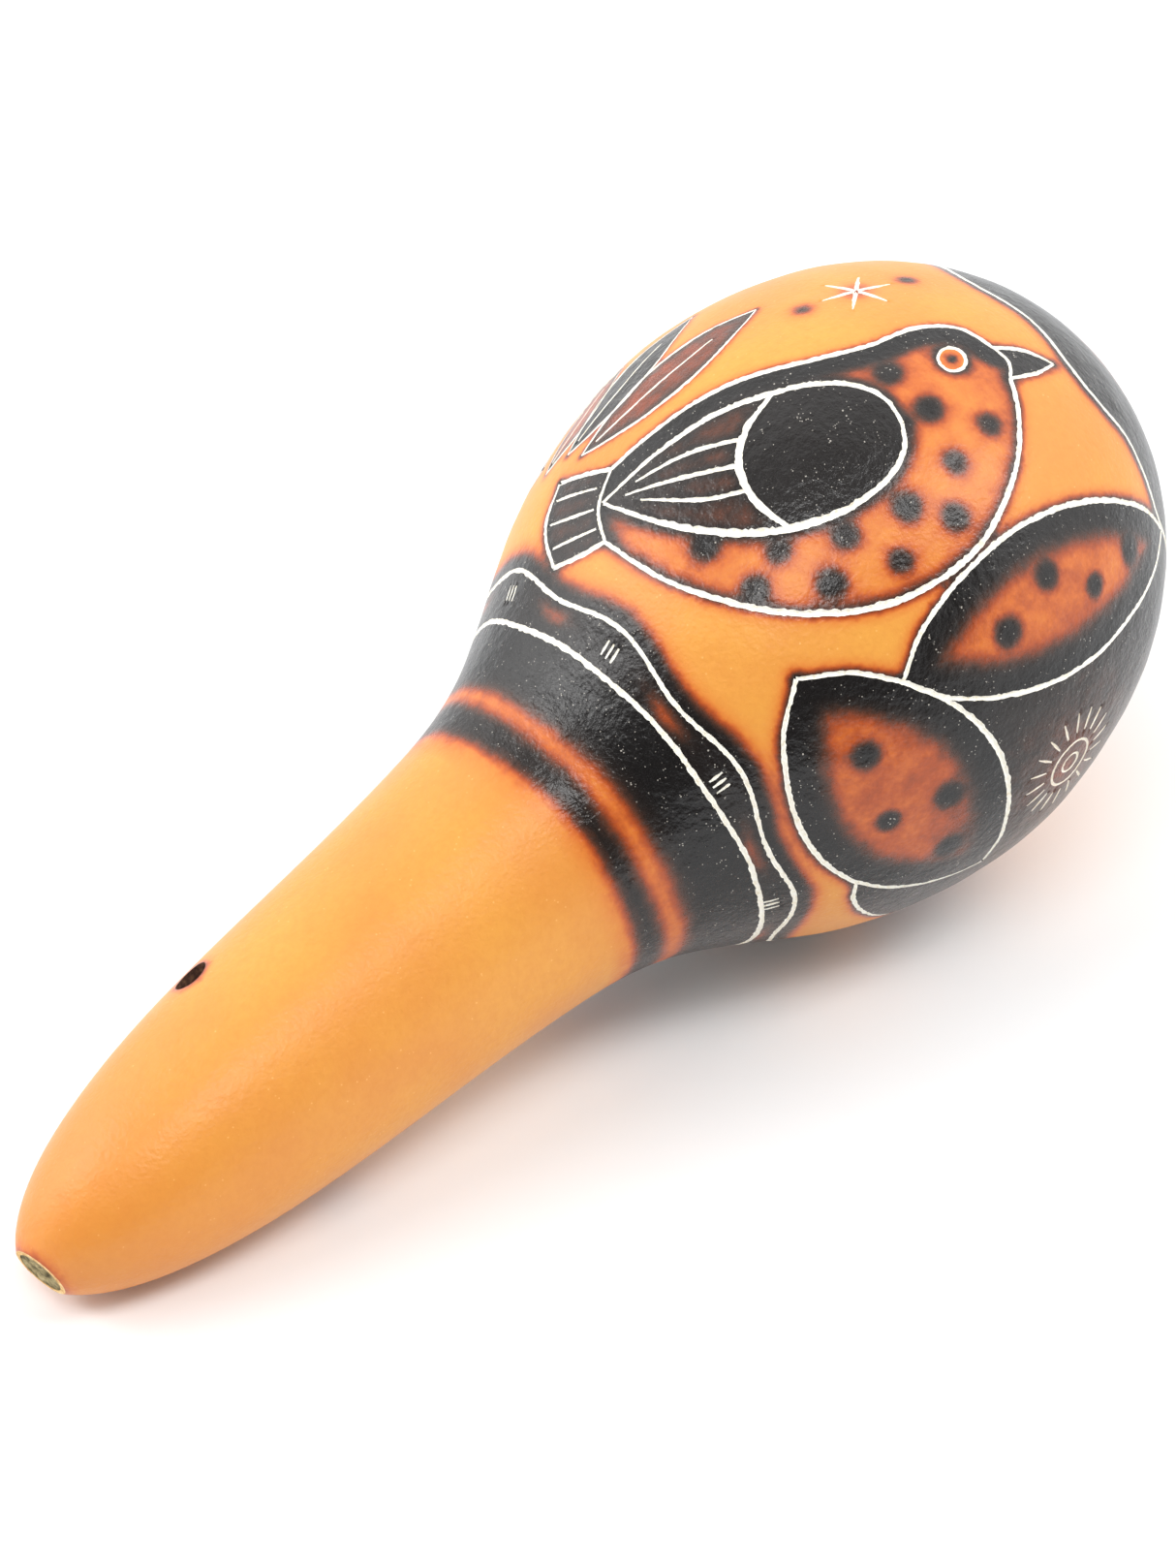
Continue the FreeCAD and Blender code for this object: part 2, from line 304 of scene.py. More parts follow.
class Line:
    """A line on the head: samples in the map, half widths left and right, groove depth."""

    def __init__(self, name, s, th, widths, closed=False, depth=1.0, ragged=1.0, slim=0.76, step=STEP, toast=0.0):
        self.toast = toast
        self.name, self.closed = name, closed
        self.s, self.th, self.length = even(np.asarray(s, float), np.asarray(th, float), step, closed)
        n = len(self.s)
        self.n = n
        rho = conformal(self.s)
        self.xy = np.stack([rho * np.cos(self.th), rho * np.sin(self.th)], -1)
        self.lam = radius(self.s)[0] / rho
        self.p = local(self.s, radius(self.s)[0], self.th)
        w = np.interp(np.linspace(0, 1, n), np.linspace(0, 1, len(widths)), widths) * slim
        seed = sum(ord(c) * (i + 3) for i, c in enumerate(name)) % 99991
        self.hw = []
        for side in range(2):
            k = (hash_noise(n, seed + side, 0.45, step) * (0.15 if side else 0.085) + hash_noise(n, seed + 7 + side, 2.6, step) * 0.05)
            k = k * ragged * np.clip(w / 0.8, 0.35, 1.15)
            h = np.maximum(w / 2 + k, 0.055 + 0.1 * w)
            if closed:
                h[-4:] += (h[0] - h[-1]) * np.array([0.2, 0.4, 0.6, 0.8])
            self.hw.append(h)
        self.depth = np.clip(w * 0.38, 0.09, 0.27) * depth
        if closed:
            t = np.roll(self.xy, -1, 0) - np.roll(self.xy, 1, 0)
        else:
            t = np.gradient(self.xy, axis=0)
        t /= np.linalg.norm(t, axis=1, keepdims=True)
        self.nrm = np.stack([-t[:, 1], t[:, 0]], -1)


def warp(d):
    """A slow bend of the drawing, so that the far side is drawn again and isn't a copy."""
    f = np.stack([0.030 * np.sin(3.1 * d[:, 1] + 1.0), 0.028 * np.sin(2.7 * d[:, 2] + 2.0),
                  0.026 * np.sin(2.9 * d[:, 0] + 0.4)], -1)
    edge = np.clip((d[:, 1] * -1.0 - 0.10) / 0.35, 0, 1)[:, None]
    out = d + f * edge
    return out / np.linalg.norm(out, axis=1, keepdims=True)


def flip(d):
    return warp(np.stack([-d[:, 0], -d[:, 1], d[:, 2]], -1))


CURVE = {}                # name -> directions, for the region outlines
FACE = np.array([[0.0021, 0.9366, -0.3504], [-0.6442, 0.2693, 0.7159], [0.7648, 0.2242, 0.6040]])


def face(pts):
    """Layout (mm right, mm up) to directions."""
    pts = np.asarray(pts, float)
    a = np.hypot(pts[:, 0], pts[:, 1])
    k = np.where(a > 1e-9, np.sin(a / 41.2) / np.maximum(a, 1e-9), 1 / 41.2)
    d = np.cos(a / 41.2)[:, None] * FACE[0] + k[:, None] * (pts[:, :1] * FACE[1] + pts[:, 1:] * FACE[2])
    return d / np.linalg.norm(d, axis=1, keepdims=True)


def draw(name, pts, closed=False):
    c = catmull(pts, closed)
    CURVE[name] = c / np.linalg.norm(c, axis=1, keepdims=True)


for _n, (_p, _w) in LINES.items():
    draw(_n, face(_p))
# a plain line closes each half at the side of the fruit
draw("border", to_dir([(39.4, 11.8), (48.0, 8.5), (60.0, 4.5), (76.0, 2.6), (94.0, 2.4), (108.0, 3.3), (118.5, 3.0)]))
EXTRA = {"border": [0.5, 0.6, 0.55, 0.5, 0.5, 0.6, 0.5]}
_t = np.linspace(0, 2 * math.pi, 13)[:-1]
draw("eye", face(EYE + 2.05 * np.stack([np.cos(_t), np.sin(_t)], -1)), True)


def around(centre, ang, mm):
    """Directions at an angle and a distance in mm from a layout point."""
    c = face([centre])[0]
    up = np.array([0.0, 0.0, 1.0])
    a = np.cross(up, c)
    a /= np.linalg.norm(a)
    b = np.cross(c, a)
    ang, mm = np.broadcast_arrays(np.asarray(ang, float), np.asarray(mm, float))
    t = mm / 41.2
    return (np.cos(t)[:, None] * c + np.sin(t)[:, None] * (np.cos(ang)[:, None] * a + np.sin(ang)[:, None] * b))


strokes = []              # (name, directions, widths, closed)
_t = np.linspace(0, 2 * math.pi, 25)[:-1]
strokes.append(("flower_ring", around(ROSETTE, _t, 3.6), [0.55], True))
strokes.append(("flower_eye", around(ROSETTE, _t, 1.5), [0.5], True))
for i in range(18):
    a = 2 * math.pi * i / 18
    strokes.append(("flower_tick%d" % i, around(ROSETTE, [a, a, a], [5.0, 6.5, 8.2]), [0.35, 0.55, 0.25], False))
for i in range(6):
    a = 2 * math.pi * i / 6 + 0.3
    strokes.append(("star%d" % i, around(STAR, [a, a, a], [0.25, 2.2, 4.8]), [0.5, 0.5, 0.15], False))

lines = []


def add(name, dirs, widths, closed=False, **kw):
    s, th = from_dir(dirs)
    lines.append(Line(name, s, th, widths, closed, **kw))


for n, (p, w) in LINES.items():
    add(n, CURVE[n], w)
    add(n + "_far", flip(CURVE[n]), w)
for n, w in EXTRA.items():
    add(n, CURVE[n], w)
    add(n + "_far", flip(CURVE[n]), w)
add("eye", CURVE["eye"], [0.66], True)
add("eye_far", flip(CURVE["eye"]), [0.66], True)
for n, d, w, c in strokes:
    hot = 0.16 if n.startswith("flower") else 0.08
    fine = 0.78 if n.startswith("flower") else 1.25 if n.startswith("star") else 0.85
    add(n, d, w, c, ragged=0.6, step=0.40, toast=hot, slim=fine)
    add(n + "_far", flip(d), w, c, ragged=0.6, step=0.40, toast=hot, slim=fine)
_th = np.linspace(0, 2 * math.pi, 721)[:-1]


def collar_s(th):
    return 100.6 + 1.30 * np.cos(th - math.radians(158)) + 0.12 * np.sin(5 * th + 1) + 0.10 * np.sin(9 * th)


add_collar = Line("collar", collar_s(_th), _th, [0.95, 1.05, 0.9, 1.0, 0.85, 1.0, 0.95], True)
lines.append(add_collar)


def ring_s(th):
    """The waved ring round the blossom end."""
    return np.interp(-(38.0 + 1.2 * np.cos(8 * th)), -TCOL, TS)


def band_s(th):
    """The waved line above the collar."""
    return np.interp(-(140.2 + 1.0 * np.cos(8 * th + 0.6)), -TCOL, TS)


lines.append(Line("tip_ring", ring_s(_th), _th, [0.8, 0.75, 0.85, 0.8], True))
lines.append(Line("band_ring", band_s(_th), _th, [0.9, 0.8, 0.95, 0.85], True))
for i in range(8):        # three short cuts under each wave of the band
    for k in (-1, 0, 1):
        a = math.pi * (2 * i + 1) / 8 - 0.075 + 0.032 * k
        c = np.array([141.6, 142.8, 144.0])
        sh = np.interp(-c, -TCOL, TS)
        lines.append(Line("cut%d_%d" % (i, k), sh, np.full(3, a) + np.array([0, 0.004, 0.008]), [0.3, 0.55, 0.3]))
for i in range(12):       # and rays round the blossom scar
    a = 2 * math.pi * i / 12
    sh = np.interp(-np.array([9.0, 12.0, 15.0]), -TCOL, TS)
    lines.append(Line("ray%d" % i, sh, np.full(3, a), [0.3, 0.6, 0.2]))


# ---------------------------------------------------------------------------
# fields on the map
# ---------------------------------------------------------------------------
def ribbon_field(xy, lam, reach=2.2):
    """For points of the map: groove ratio (0 centre, 1 edge, >1 outside), depth, and distance in mm outside the nearest groove edge."""
    n = len(xy)
    ratio = np.full(n, 9.0)
    toast = np.zeros(n)
    depth = np.zeros(n)
    away = np.full(n, 9.0)
    order = np.argsort(xy[:, 0])
    xs = xy[order, 0]
    for L in lines:
        idx = np.arange(L.n)
        seq = np.append(idx, 0) if L.closed else idx
        for a0 in range(0, len(seq) - 1, 16):
            k = seq[a0:a0 + 17]
            if len(k) < 2:
                continue
            A, B = L.xy[k[:-1]], L.xy[k[1:]]
            m = reach / L.lam[k].min()
            lo = np.minimum(A, B).min(0) - m
            hi = np.maximum(A, B).max(0) + m
            i0, i1 = np.searchsorted(xs, lo[0]), np.searchsorted(xs, hi[0])
            c = order[i0:i1]
            c = c[(xy[c, 1] > lo[1]) & (xy[c, 1] < hi[1])]
            if not len(c):
                continue
            AB = B - A
            ll = (AB ** 2).sum(1) + 1e-18
            AP = xy[c][:, None] - A[None]
            t = (AP * AB[None]).sum(2) / ll
            tc = np.clip(t, 0, 1)
            dv = AP - tc[..., None] * AB[None]
            dist = np.hypot(dv[..., 0], dv[..., 1]) * lam[c][:, None]
            side = (AB[None, :, 0] * AP[..., 1] - AB[None, :, 1] * AP[..., 0]) > 0
            h0, h1 = L.hw[0], L.hw[1]
            hw = np.where(side, h0[k[:-1]] * (1 - tc) + h0[k[1:]] * tc, h1[k[:-1]] * (1 - tc) + h1[k[1:]] * tc)
            end = (t < -1e-6) | (t > 1 + 1e-6)
            if not L.closed:
                first = np.zeros(len(k) - 1, bool)
                first[0] = a0 == 0
                last = np.zeros(len(k) - 1, bool)
                last[-1] = a0 + 17 >= len(seq)
                outside = ((t < -1e-6) & first[None]) | ((t > 1 + 1e-6) & last[None])
            else:
                outside = np.zeros_like(end)
            rt = dist / hw
            rt = np.where(outside, np.maximum(rt, 1.02), rt)
            aw = np.where(outside, dist, dist - hw)
            j = rt.argmin(1)
            ar = np.arange(len(c))
            rmin = rt[ar, j]
            D = L.depth[k[:-1]][j]
            f = np.where(rmin < 1, 0.85 * np.clip((1 - rmin) / 0.38, 0, 1) + 0.15 * (1 - rmin ** 2), 0)
            depth[c] = np.maximum(depth[c], D * f)
            toast[c] = np.where(rmin < ratio[c], L.toast, toast[c])
            ratio[c] = np.minimum(ratio[c], rmin)
            away[c] = np.minimum(away[c], aw.min(1))
    return ratio, depth, away, toast


def inside(xy, poly):
    out = np.zeros(len(xy), bool)
    lo, hi = poly.min(0), poly.max(0)
    c = np.nonzero((xy[:, 0] > lo[0]) & (xy[:, 0] < hi[0]) & (xy[:, 1] > lo[1]) & (xy[:, 1] < hi[1]))[0]
    if not len(c):
        return out
    p = xy[c]
    a, b = poly, np.roll(poly, -1, 0)
    res = np.zeros(len(c), bool)
    for i in range(len(a)):
        cond = (a[i, 1] > p[:, 1]) != (b[i, 1] > p[:, 1])
        if cond.any():
            x = (b[i, 0] - a[i, 0]) * (p[:, 1] - a[i, 1]) / (b[i, 1] - a[i, 1] + 1e-30) + a[i, 0]
            res ^= cond & (p[:, 0] < x)
    out[c] = res
    return out


def to_map(dirs):
    s, th = from_dir(dirs)
    rho = conformal(s)
    return np.stack([rho * np.cos(th), rho * np.sin(th)], -1)


def near(P, dirs, limit=12.0):
    """Distance in mm from surface points to a line given by directions."""
    s, th = from_dir(dirs)
    q = local(s, radius(s)[0], th)
    q = q[::3] if len(q) > 60 else q
    out = np.full(len(P), 99.0)
    for a0 in range(0, len(q) - 1, 12):
        seg = q[a0:a0 + 13]
        lo, hi = seg.min(0) - limit, seg.max(0) + limit
        c = np.nonzero(((P > lo) & (P < hi)).all(1))[0]
        if not len(c):
            continue
        A, B = seg[:-1], seg[1:]
        AB = B - A
        ll = (AB ** 2).sum(1) + 1e-12
        AP = P[c][:, None] - A[None]
        t = np.clip((AP * AB[None]).sum(2) / ll, 0, 1)
        d = np.linalg.norm(AP - t[..., None] * AB[None], axis=2).min(1)
        out[c] = np.minimum(out[c], d)
    return out


def spot(P, at, far=False):
    d = face([at])
    if far:
        d = flip(d)
    s, th = from_dir(d)
    q = local(s, radius(s)[0], th)[0]
    return np.linalg.norm(P - q, axis=1)


def path(far, *bits):
    out = []
    for b in bits:
        if isinstance(b, str):
            out.append(CURVE[b[1:]][::-1] if b[0] == "-" else CURVE[b])
        elif isinstance(b, tuple):
            c = CURVE[b[0]]
            i, j = int(b[1] * (len(c) - 1)), int(b[2] * (len(c) - 1))
            out.append(c[i:j + 1] if j > i else c[j:i + 1][::-1])
        else:
            out.append(to_dir(b))
    d = np.vstack(out)
    return flip(d) if far else d


def over(b, h):
    """Lays one scorch over another."""
    return 1 - (1 - b) * (1 - np.clip(h, 0, 1))


def band(d, w, p=2.0):
    return np.exp(-(np.maximum(d, 0) / w) ** p)


def scorch(region, far, P, s, th):
    """How burnt the rind is, 0 natural to 1 black, at points of one region."""
    n = len(P)
    N = lambda k: near(P, flip(CURVE[k]) if far else CURVE[k])
    S = lambda at: spot(P, at, far)
    steep = np.sqrt(1 + radius(s)[1] ** 2)
    collar = np.abs(s - collar_s(th)) * steep
    hem = np.abs(s - band_s(th)) * steep
    if region == "gold":
        b = np.full(n, 0.05)
        for k, h, w in (("front", 0.80, 0.95), ("back", 0.62, 0.7), ("tail_up", 0.7, 0.8), ("tail_end", 0.8, 0.9),
                        ("tail_low", 0.7, 0.8), ("beak_up", 0.70, 0.8), ("beak_down", 0.70, 0.8),
                        ("leaf_one_l", 0.85, 1.0), ("leaf_one_r", 0.85, 1.0), ("leaf_two_l", 0.87, 1.05), ("leaf_two_r", 0.85, 1.0),
                        ("vine", 0.90, 0.95), ("blade_1_r", 0.55, 0.6), ("blade_1_l", 0.55, 0.6),
                        ("blade_2_l", 0.55, 0.6), ("blade_2_r", 0.55, 0.6), ("blade_3_l", 0.55, 0.6), ("blade_3_r", 0.55, 0.6)):
            b = over(b, h * band(N(k), w, 1.6))
        b = over(b, 0.97 * band(hem - 0.4, 1.9, 1.7))
        b = over(b, 0.85 * band(np.abs(s - ring_s(th)) * steep, 1.3, 1.7))
        b = over(b, 0.42 * band(S(STAR), 2.6, 3.0))
        for q in ((-5.0, 44.5), (12.0, 51.5)):
            b = over(b, 0.85 * band(S(q), 1.5, 2.0))
        return b
    if region == "bird":
        b = np.full(n, 0.22)
        b = over(b, 0.22 * band(N("back"), 8.0))
        b = over(b, 0.985 * band(N("back") - 2.4, 1.35, 2.0))
        b = over(b, 0.80 * band(N("front") - 0.1, 1.25, 1.7))
        b = over(b, 0.85 * band(N("root") - 0.4, 1.6, 1.8))
        b = over(b, 0.88 * band(N("wing_up") - 0.3, 1.1, 1.8))
        b = over(b, 0.88 * band(N("wing_down") - 0.4, 1.25, 1.8))
        b = over(b, 0.75 * band(N("beak_base"), 1.3, 1.8))
        b = over(b, 0.95 * band(S(EYE) - 1.7, 1.15, 2.0))
        for i, q in enumerate(SPOTS):
            r, k = ((2.05, 1.0), (1.75, 0.86), (1.95, 0.94))[i % 3]
            b = over(b, k * 0.97 * band(S(q), r, 3.6))
            b = over(b, k * 0.35 * band(S(q), r * 1.45, 3.0))
        return b
    if region == "eye":
        return np.full(n, 0.25) + 0.7 * band(S(EYE), 0.9, 3.0)
    if region == "wing_black":
        return np.full(n, 0.97)
    if region in ("feathers", "tail"):
        b = np.full(n, 0.72)
        ks = ("wing_up", "wing_down", "cover", "vane_1", "vane_2", "vane_3") if region == "feathers" else \
            ("root", "tail_up", "tail_low", "tail_end", "quill_1", "quill_2", "quill_3")
        for k in ks:
            b = over(b, 0.72 * band(N(k) - 0.2, 1.1, 1.8))
        return np.clip(b, 0, 1)
    if region == "beak":
        return np.full(n, 0.98)
    if region == "hem":
        b = np.full(n, 0.96)
        # the black is thinner between the groups of cuts
        return b - 0.42 * (0.5 + 0.5 * np.cos(8 * th + 0.6 - math.pi * 0)) ** 3 * band(np.abs(hem - 2.0), 1.1, 2.4)
    if region in ("blade_1", "blade_2", "blade_3"):
        b = np.full(n, {"blade_1": 0.60, "blade_2": 0.93, "blade_3": 0.50}[region])
        for k in ("_l", "_r"):
            b = over(b, 0.55 * band(N(region + k), 1.0))
        return b
    if region == "tip":
        b = np.full(n, 0.97)
        arc = (TARC[-1] - np.interp(s, TS, TARC)) + SCAR_RADIUS
        b = b - 0.48 * band(np.abs(arc - 15.0), 3.6, 2.4)
        b = b - 0.55 * band(arc, 4.3, 6.0)
        return b
    if region in ("ground", "leaf_one", "leaf_two"):
        b = np.full(n, 0.985)
        if region != "ground":
            inner, edge = (0.36, 3.2) if region == "leaf_one" else (0.42, 3.6)
            d = np.minimum(N(region + "_l"), N(region + "_r"))
            b = b - (0.985 - inner) * smooth((d - edge + 1.0) / 4.8)
        fd = S(ROSETTE)
        if region == "ground":
            b = np.minimum(b, 0.985 - 0.20 * band(fd, 17.0, 3.0))
            b = b - 0.14 * band(fd, 5.6, 3.0)
        else:
            b = over(b, 0.45 * (1 - smooth((fd - 14.0) / 12.0)))
            for i, q in enumerate(LEAF_SPOTS[region]):
                b = over(b, 0.99 * band(S(q), (2.25, 1.75, 2.1)[i % 3], 4.0))
        return np.clip(b, 0, 1)
    if region == "neck":
        strip = 90.1 + 1.35 * np.cos(th - math.radians(118)) + 0.15 * np.sin(5 * th)
        edge = 83.3 + 2.6 * np.cos(th - math.radians(112)) + 0.2 * np.sin(5 * th)
        b = 0.99 - 0.68 * np.exp(-np.abs((s - strip) / (1.65 + 0.45 * smooth(th / 2.4))) ** 1.9)
        t = (s - edge) / 1.0
        fade = 0.99 / (1 + np.exp(-(t - 0.35) * 1.45))
        fade = np.maximum(fade, 0.26 / (1 + np.exp(-(t + 2.4) * 1.2)))
        b = np.where(s > strip - 2.2, b, np.minimum(b, fade))
        base = 0.065 + 0.075 * smooth((45.0 - s) / 45.0)
        b = np.where(s < 60, base, np.maximum(b, base))
        return b
    raise KeyError(region)


def to_map_pts(s, th):
    rho = conformal(s)
    return np.stack([rho * np.cos(th), rho * np.sin(th)], -1)


REGIONS = []              # (region, far, outline in the map), later ones lie over earlier ones


def region(name, far, *bits):
    REGIONS.append((name, far, to_map(path(far, *bits))))


# ---------------------------------------------------------------------------
# meshing helpers
# ---------------------------------------------------------------------------
class Sheet:
    """Collects vertices (row frame, m), triangles, material numbers and per-corner scorch."""

    def __init__(self):
        self.v, self.f, self.m, self.b, self.n = [], [], [], [], 0

    def put(self, verts, faces, mat, burn=None):
        faces = np.asarray(faces, int)
        self.v.append(np.asarray(verts))
        self.f.append(faces + self.n)
        self.m.append(np.full(len(faces), mat) if np.isscalar(mat) else np.asarray(mat))
        self.b.append(np.zeros((len(faces), 3)) if burn is None else burn)
        self.n += len(verts)


def cdt(verts, edges):
    vs, es, fs, ov, oe, of_ = delaunay_2d_cdt([Vector(v) for v in verts.tolist()], [tuple(e) for e in edges], [], 0, 1e-7)
    return np.array([(v.x, v.y) for v in vs]), np.array([tuple(f) for f in fs], int)


def orient(v, f, outward):
    """Turns triangles so that they face along outward (one direction per triangle)."""
    n = np.cross(v[f[:, 1]] - v[f[:, 0]], v[f[:, 2]] - v[f[:, 0]])
    bad = (n * outward).sum(1) < 0
    f = f.copy()
    f[bad] = f[bad][:, ::-1]
    return f, bad


# ---------------------------------------------------------------------------
# regions of the drawing, near side and far side
# ---------------------------------------------------------------------------
side_line = to_dir([(-118.5, -3.0), (-108.0, -3.3), (-94.0, -2.4), (-76.0, -2.6), (-60.0, -4.5), (-48.0, -8.5),
                    (-39.4, -11.8), (-32.0, -12.5), (-28.0, -4.0), (-27.0, 12.0)])
for far in (False, True):
    ring = np.vstack([path(False, "leaf_one_r", ("leaf_two_r", 0.8, 1.0), ("leaf_two_l", 1.0, 0.42), "vine"), side_line])
    REGIONS.append(("ground", far, to_map(flip(ring) if far else ring)))
    for leaf in LEAVES:
        region(leaf, far, leaf + "_l", "-" + leaf + "_r")
    region("bird", far, "back", "root", "-front", "-beak_base")
    region("tail", far, "tail_up", "tail_end", "tail_low", "-root")
    region("feathers", far, ("wing_up", 0.5715, 1.0), ("wing_down", 1.0, 0.5715), "-cover")
    region("wing_black", far, ("wing_up", 0.0, 0.5715), "cover", ("wing_down", 0.5715, 0.0))
    region("beak", far, "beak_up", "beak_down", "-beak_base")
    region("eye", far, "eye")


def shade(xy, P, s, th, faces, cen):
    """Scorch at the corners of the faces, worked out region by region."""
    code = np.zeros(len(faces), int)
    for i, (_, _, poly) in enumerate(REGIONS):
        code[inside(cen, poly)] = i + 1
    s_c, th_c = s[faces].mean(1), np.arctan2(cen[:, 1], cen[:, 0])
    code[s_c > ring_s(th_c)] = -2
    code[s_c < band_s(th_c)] = -3
    code[s_c < collar_s(th_c)] = -1
    out = np.zeros((len(faces), 3))
    for c in np.unique(code):
        fs = np.nonzero(code == c)[0]
        vs, inv = np.unique(faces[fs], return_inverse=True)
        if c == -1:
            b = scorch("neck", False, P[vs], s[vs], th[vs])
        elif c in (-2, -3):
            b = scorch("tip" if c == -2 else "hem", False, P[vs], s[vs], th[vs])
        elif c == 0:
            b = over(scorch("gold", False, P[vs], s[vs], th[vs]), scorch("gold", True, P[vs], s[vs], th[vs]) - 0.05)
        else:
            b = scorch(REGIONS[c - 1][0], REGIONS[c - 1][1], P[vs], s[vs], th[vs])
        out[fs] = np.clip(b, 0, 1)[inv.reshape(len(fs), 3)]
    return out, code


# ---------------------------------------------------------------------------
# profiles as charts
# ---------------------------------------------------------------------------
class Profile:
    """A surface of revolution about the skewed axis, with an angle-true flat map."""

    def __init__(self, z, r, scale=1.0):
        self.z, self.r = z, r
        d = np.hypot(np.diff(z), np.diff(r))
        self.t = np.concatenate([[0], np.cumsum(d)])
        w = np.concatenate([[0], np.cumsum(d * 2 / (r[1:] + r[:-1]))])
        self.w = w[-1] - w
        self.scale = scale

    def rho(self, t):
        return self.scale * np.exp(np.interp(t, self.t, self.w))

    def back(self, rho):
        return np.interp(-np.log(rho / self.scale), -self.w, self.t)

    def at(self, t):
        return np.interp(t, self.t, self.z), np.interp(t, self.t, self.r)

    def t_of_z(self, z):
        return np.interp(z, self.z, self.t)

    def point(self, t, th):
        z, r = self.at(t)
        return local(z, r, th)


def circle_rings(prof, t0, t1, step):
    """Points in staggered rings between two arc positions, as (t, th)."""
    n = max(1, int(round((t1 - t0) / (step * 0.866))))
    T, H = [], []
    for i in range(1, n):
        t = t0 + (t1 - t0) * i / n
        m = max(8, int(round(2 * math.pi * prof.at(t)[1] / step)))
        a = (np.arange(m) + 0.5 * (i % 2)) * 2 * math.pi / m
        T.append(np.full(m, t))
        H.append(a)
    return np.concatenate(T), np.concatenate(H)


# ---------------------------------------------------------------------------
# the carved head
# ---------------------------------------------------------------------------
sheet = Sheet()
NJ = 168
ring_th = np.arange(NJ) * 2 * math.pi / NJ

pts, lams, cons = [], [], []
count = 0


def give(xy, lam, edges=None):
    global count
    pts.append(xy)
    lams.append(lam)
    if edges is not None:
        cons.append(np.asarray(edges, int) + count)
    count += len(xy)


ROWS = (-1.0, -0.62, 0.0, 0.62, 1.0)
for L in lines:
    n = L.n
    edges = []
    rows_xy = []
    for q in ROWS:
        hw = L.hw[0] if q > 0 else L.hw[1]
        rows_xy.append(L.xy + L.nrm * (q * hw / L.lam)[:, None])
    xy = np.concatenate(rows_xy)
    for k in range(5):
        a = np.arange(n - 1) + k * n
        edges.append(np.stack([a, a + 1], 1))
        if L.closed:
            edges.append(np.array([[k * n + n - 1, k * n]]))
    if not L.closed:
        for e in (0, n - 1):
            k = np.arange(4) * n + e
            edges.append(np.stack([k, k + n], 1))
    give(xy, np.tile(L.lam, 5), np.concatenate(edges))
groove_xy = np.concatenate(pts)
groove_n = len(groove_xy)

rho_j = conformal(np.array([JOIN]))[0]
give(np.stack([rho_j * np.cos(ring_th), rho_j * np.sin(ring_th)], -1), np.full(NJ, radius(JOIN)[0] / rho_j),
     np.stack([np.arange(NJ), (np.arange(NJ) + 1) % NJ], 1))
NS = 28
scar_th = np.arange(NS) * 2 * math.pi / NS
give(np.stack([SCAR_RADIUS * np.cos(scar_th), SCAR_RADIUS * np.sin(scar_th)], -1), np.ones(NS),
     np.stack([np.arange(NS), (np.arange(NS) + 1) % NS], 1))
sc_r = np.concatenate([[0.0], np.full(8, 0.8), np.full(16, 1.6)])
sc_t = np.concatenate([[0.0], np.arange(8) * math.pi / 4, np.arange(16) * math.pi / 8])
give(np.stack([sc_r * np.cos(sc_t), sc_r * np.sin(sc_t)], -1), np.ones(25))

outer = Profile(TS, TR, SCAR_RADIUS)
bt, bh = circle_rings(outer, outer.t_of_z(JOIN), outer.t[-1], 0.86)
bz, br = outer.at(bt)
brho = outer.rho(bt)
bxy = np.stack([brho * np.cos(bh), brho * np.sin(bh)], -1)
rng = np.random.RandomState(5)
blam = br / brho
bxy += rng.uniform(-0.09, 0.09, bxy.shape) / blam[:, None]
# keep clear of the groove rows; the test runs in a map stretched to mm by log radius
def unroll(xy):
    rr_ = np.hypot(xy[:, 0], xy[:, 1])
    return np.log(np.maximum(rr_, 1e-6)), np.arctan2(xy[:, 1], xy[:, 0])


def clear(cand, lam, obst, gap):
    """Candidates at least gap mm from the obstacles, all in the angle-true map."""
    lc, tc = unroll(cand)
    lo, to = unroll(obst)
    rc = lam * np.hypot(cand[:, 0], cand[:, 1])
    keep = np.ones(len(cand), bool)
    bins = {}
    w = 0.02
    for i, (a, b) in enumerate(zip((lo / w).astype(int), (to / w).astype(int))):
        bins.setdefault((a, b), []).append(i)
    nb = int(round(2 * math.pi / w))
    ca, cb = (lc / w).astype(int), (tc / w).astype(int)
    for i in range(len(cand)):
        reach = int(math.ceil(gap / rc[i] / w))
        if reach > 6:
            d = np.hypot(*(obst - cand[i]).T).min() * lam[i]
            keep[i] = d > gap
            continue
        hit = []
        for a in range(ca[i] - reach, ca[i] + reach + 1):
            for b in range(cb[i] - reach, cb[i] + reach + 1):
                for bb_ in (b, b - nb, b + nb):
                    g = bins.get((a, bb_))
                    if g:
                        hit += g
        if hit:
            d = obst[hit] - cand[i]
            keep[i] = math.sqrt((d[:, 0] ** 2 + d[:, 1] ** 2).min()) * lam[i] > gap
    return keep


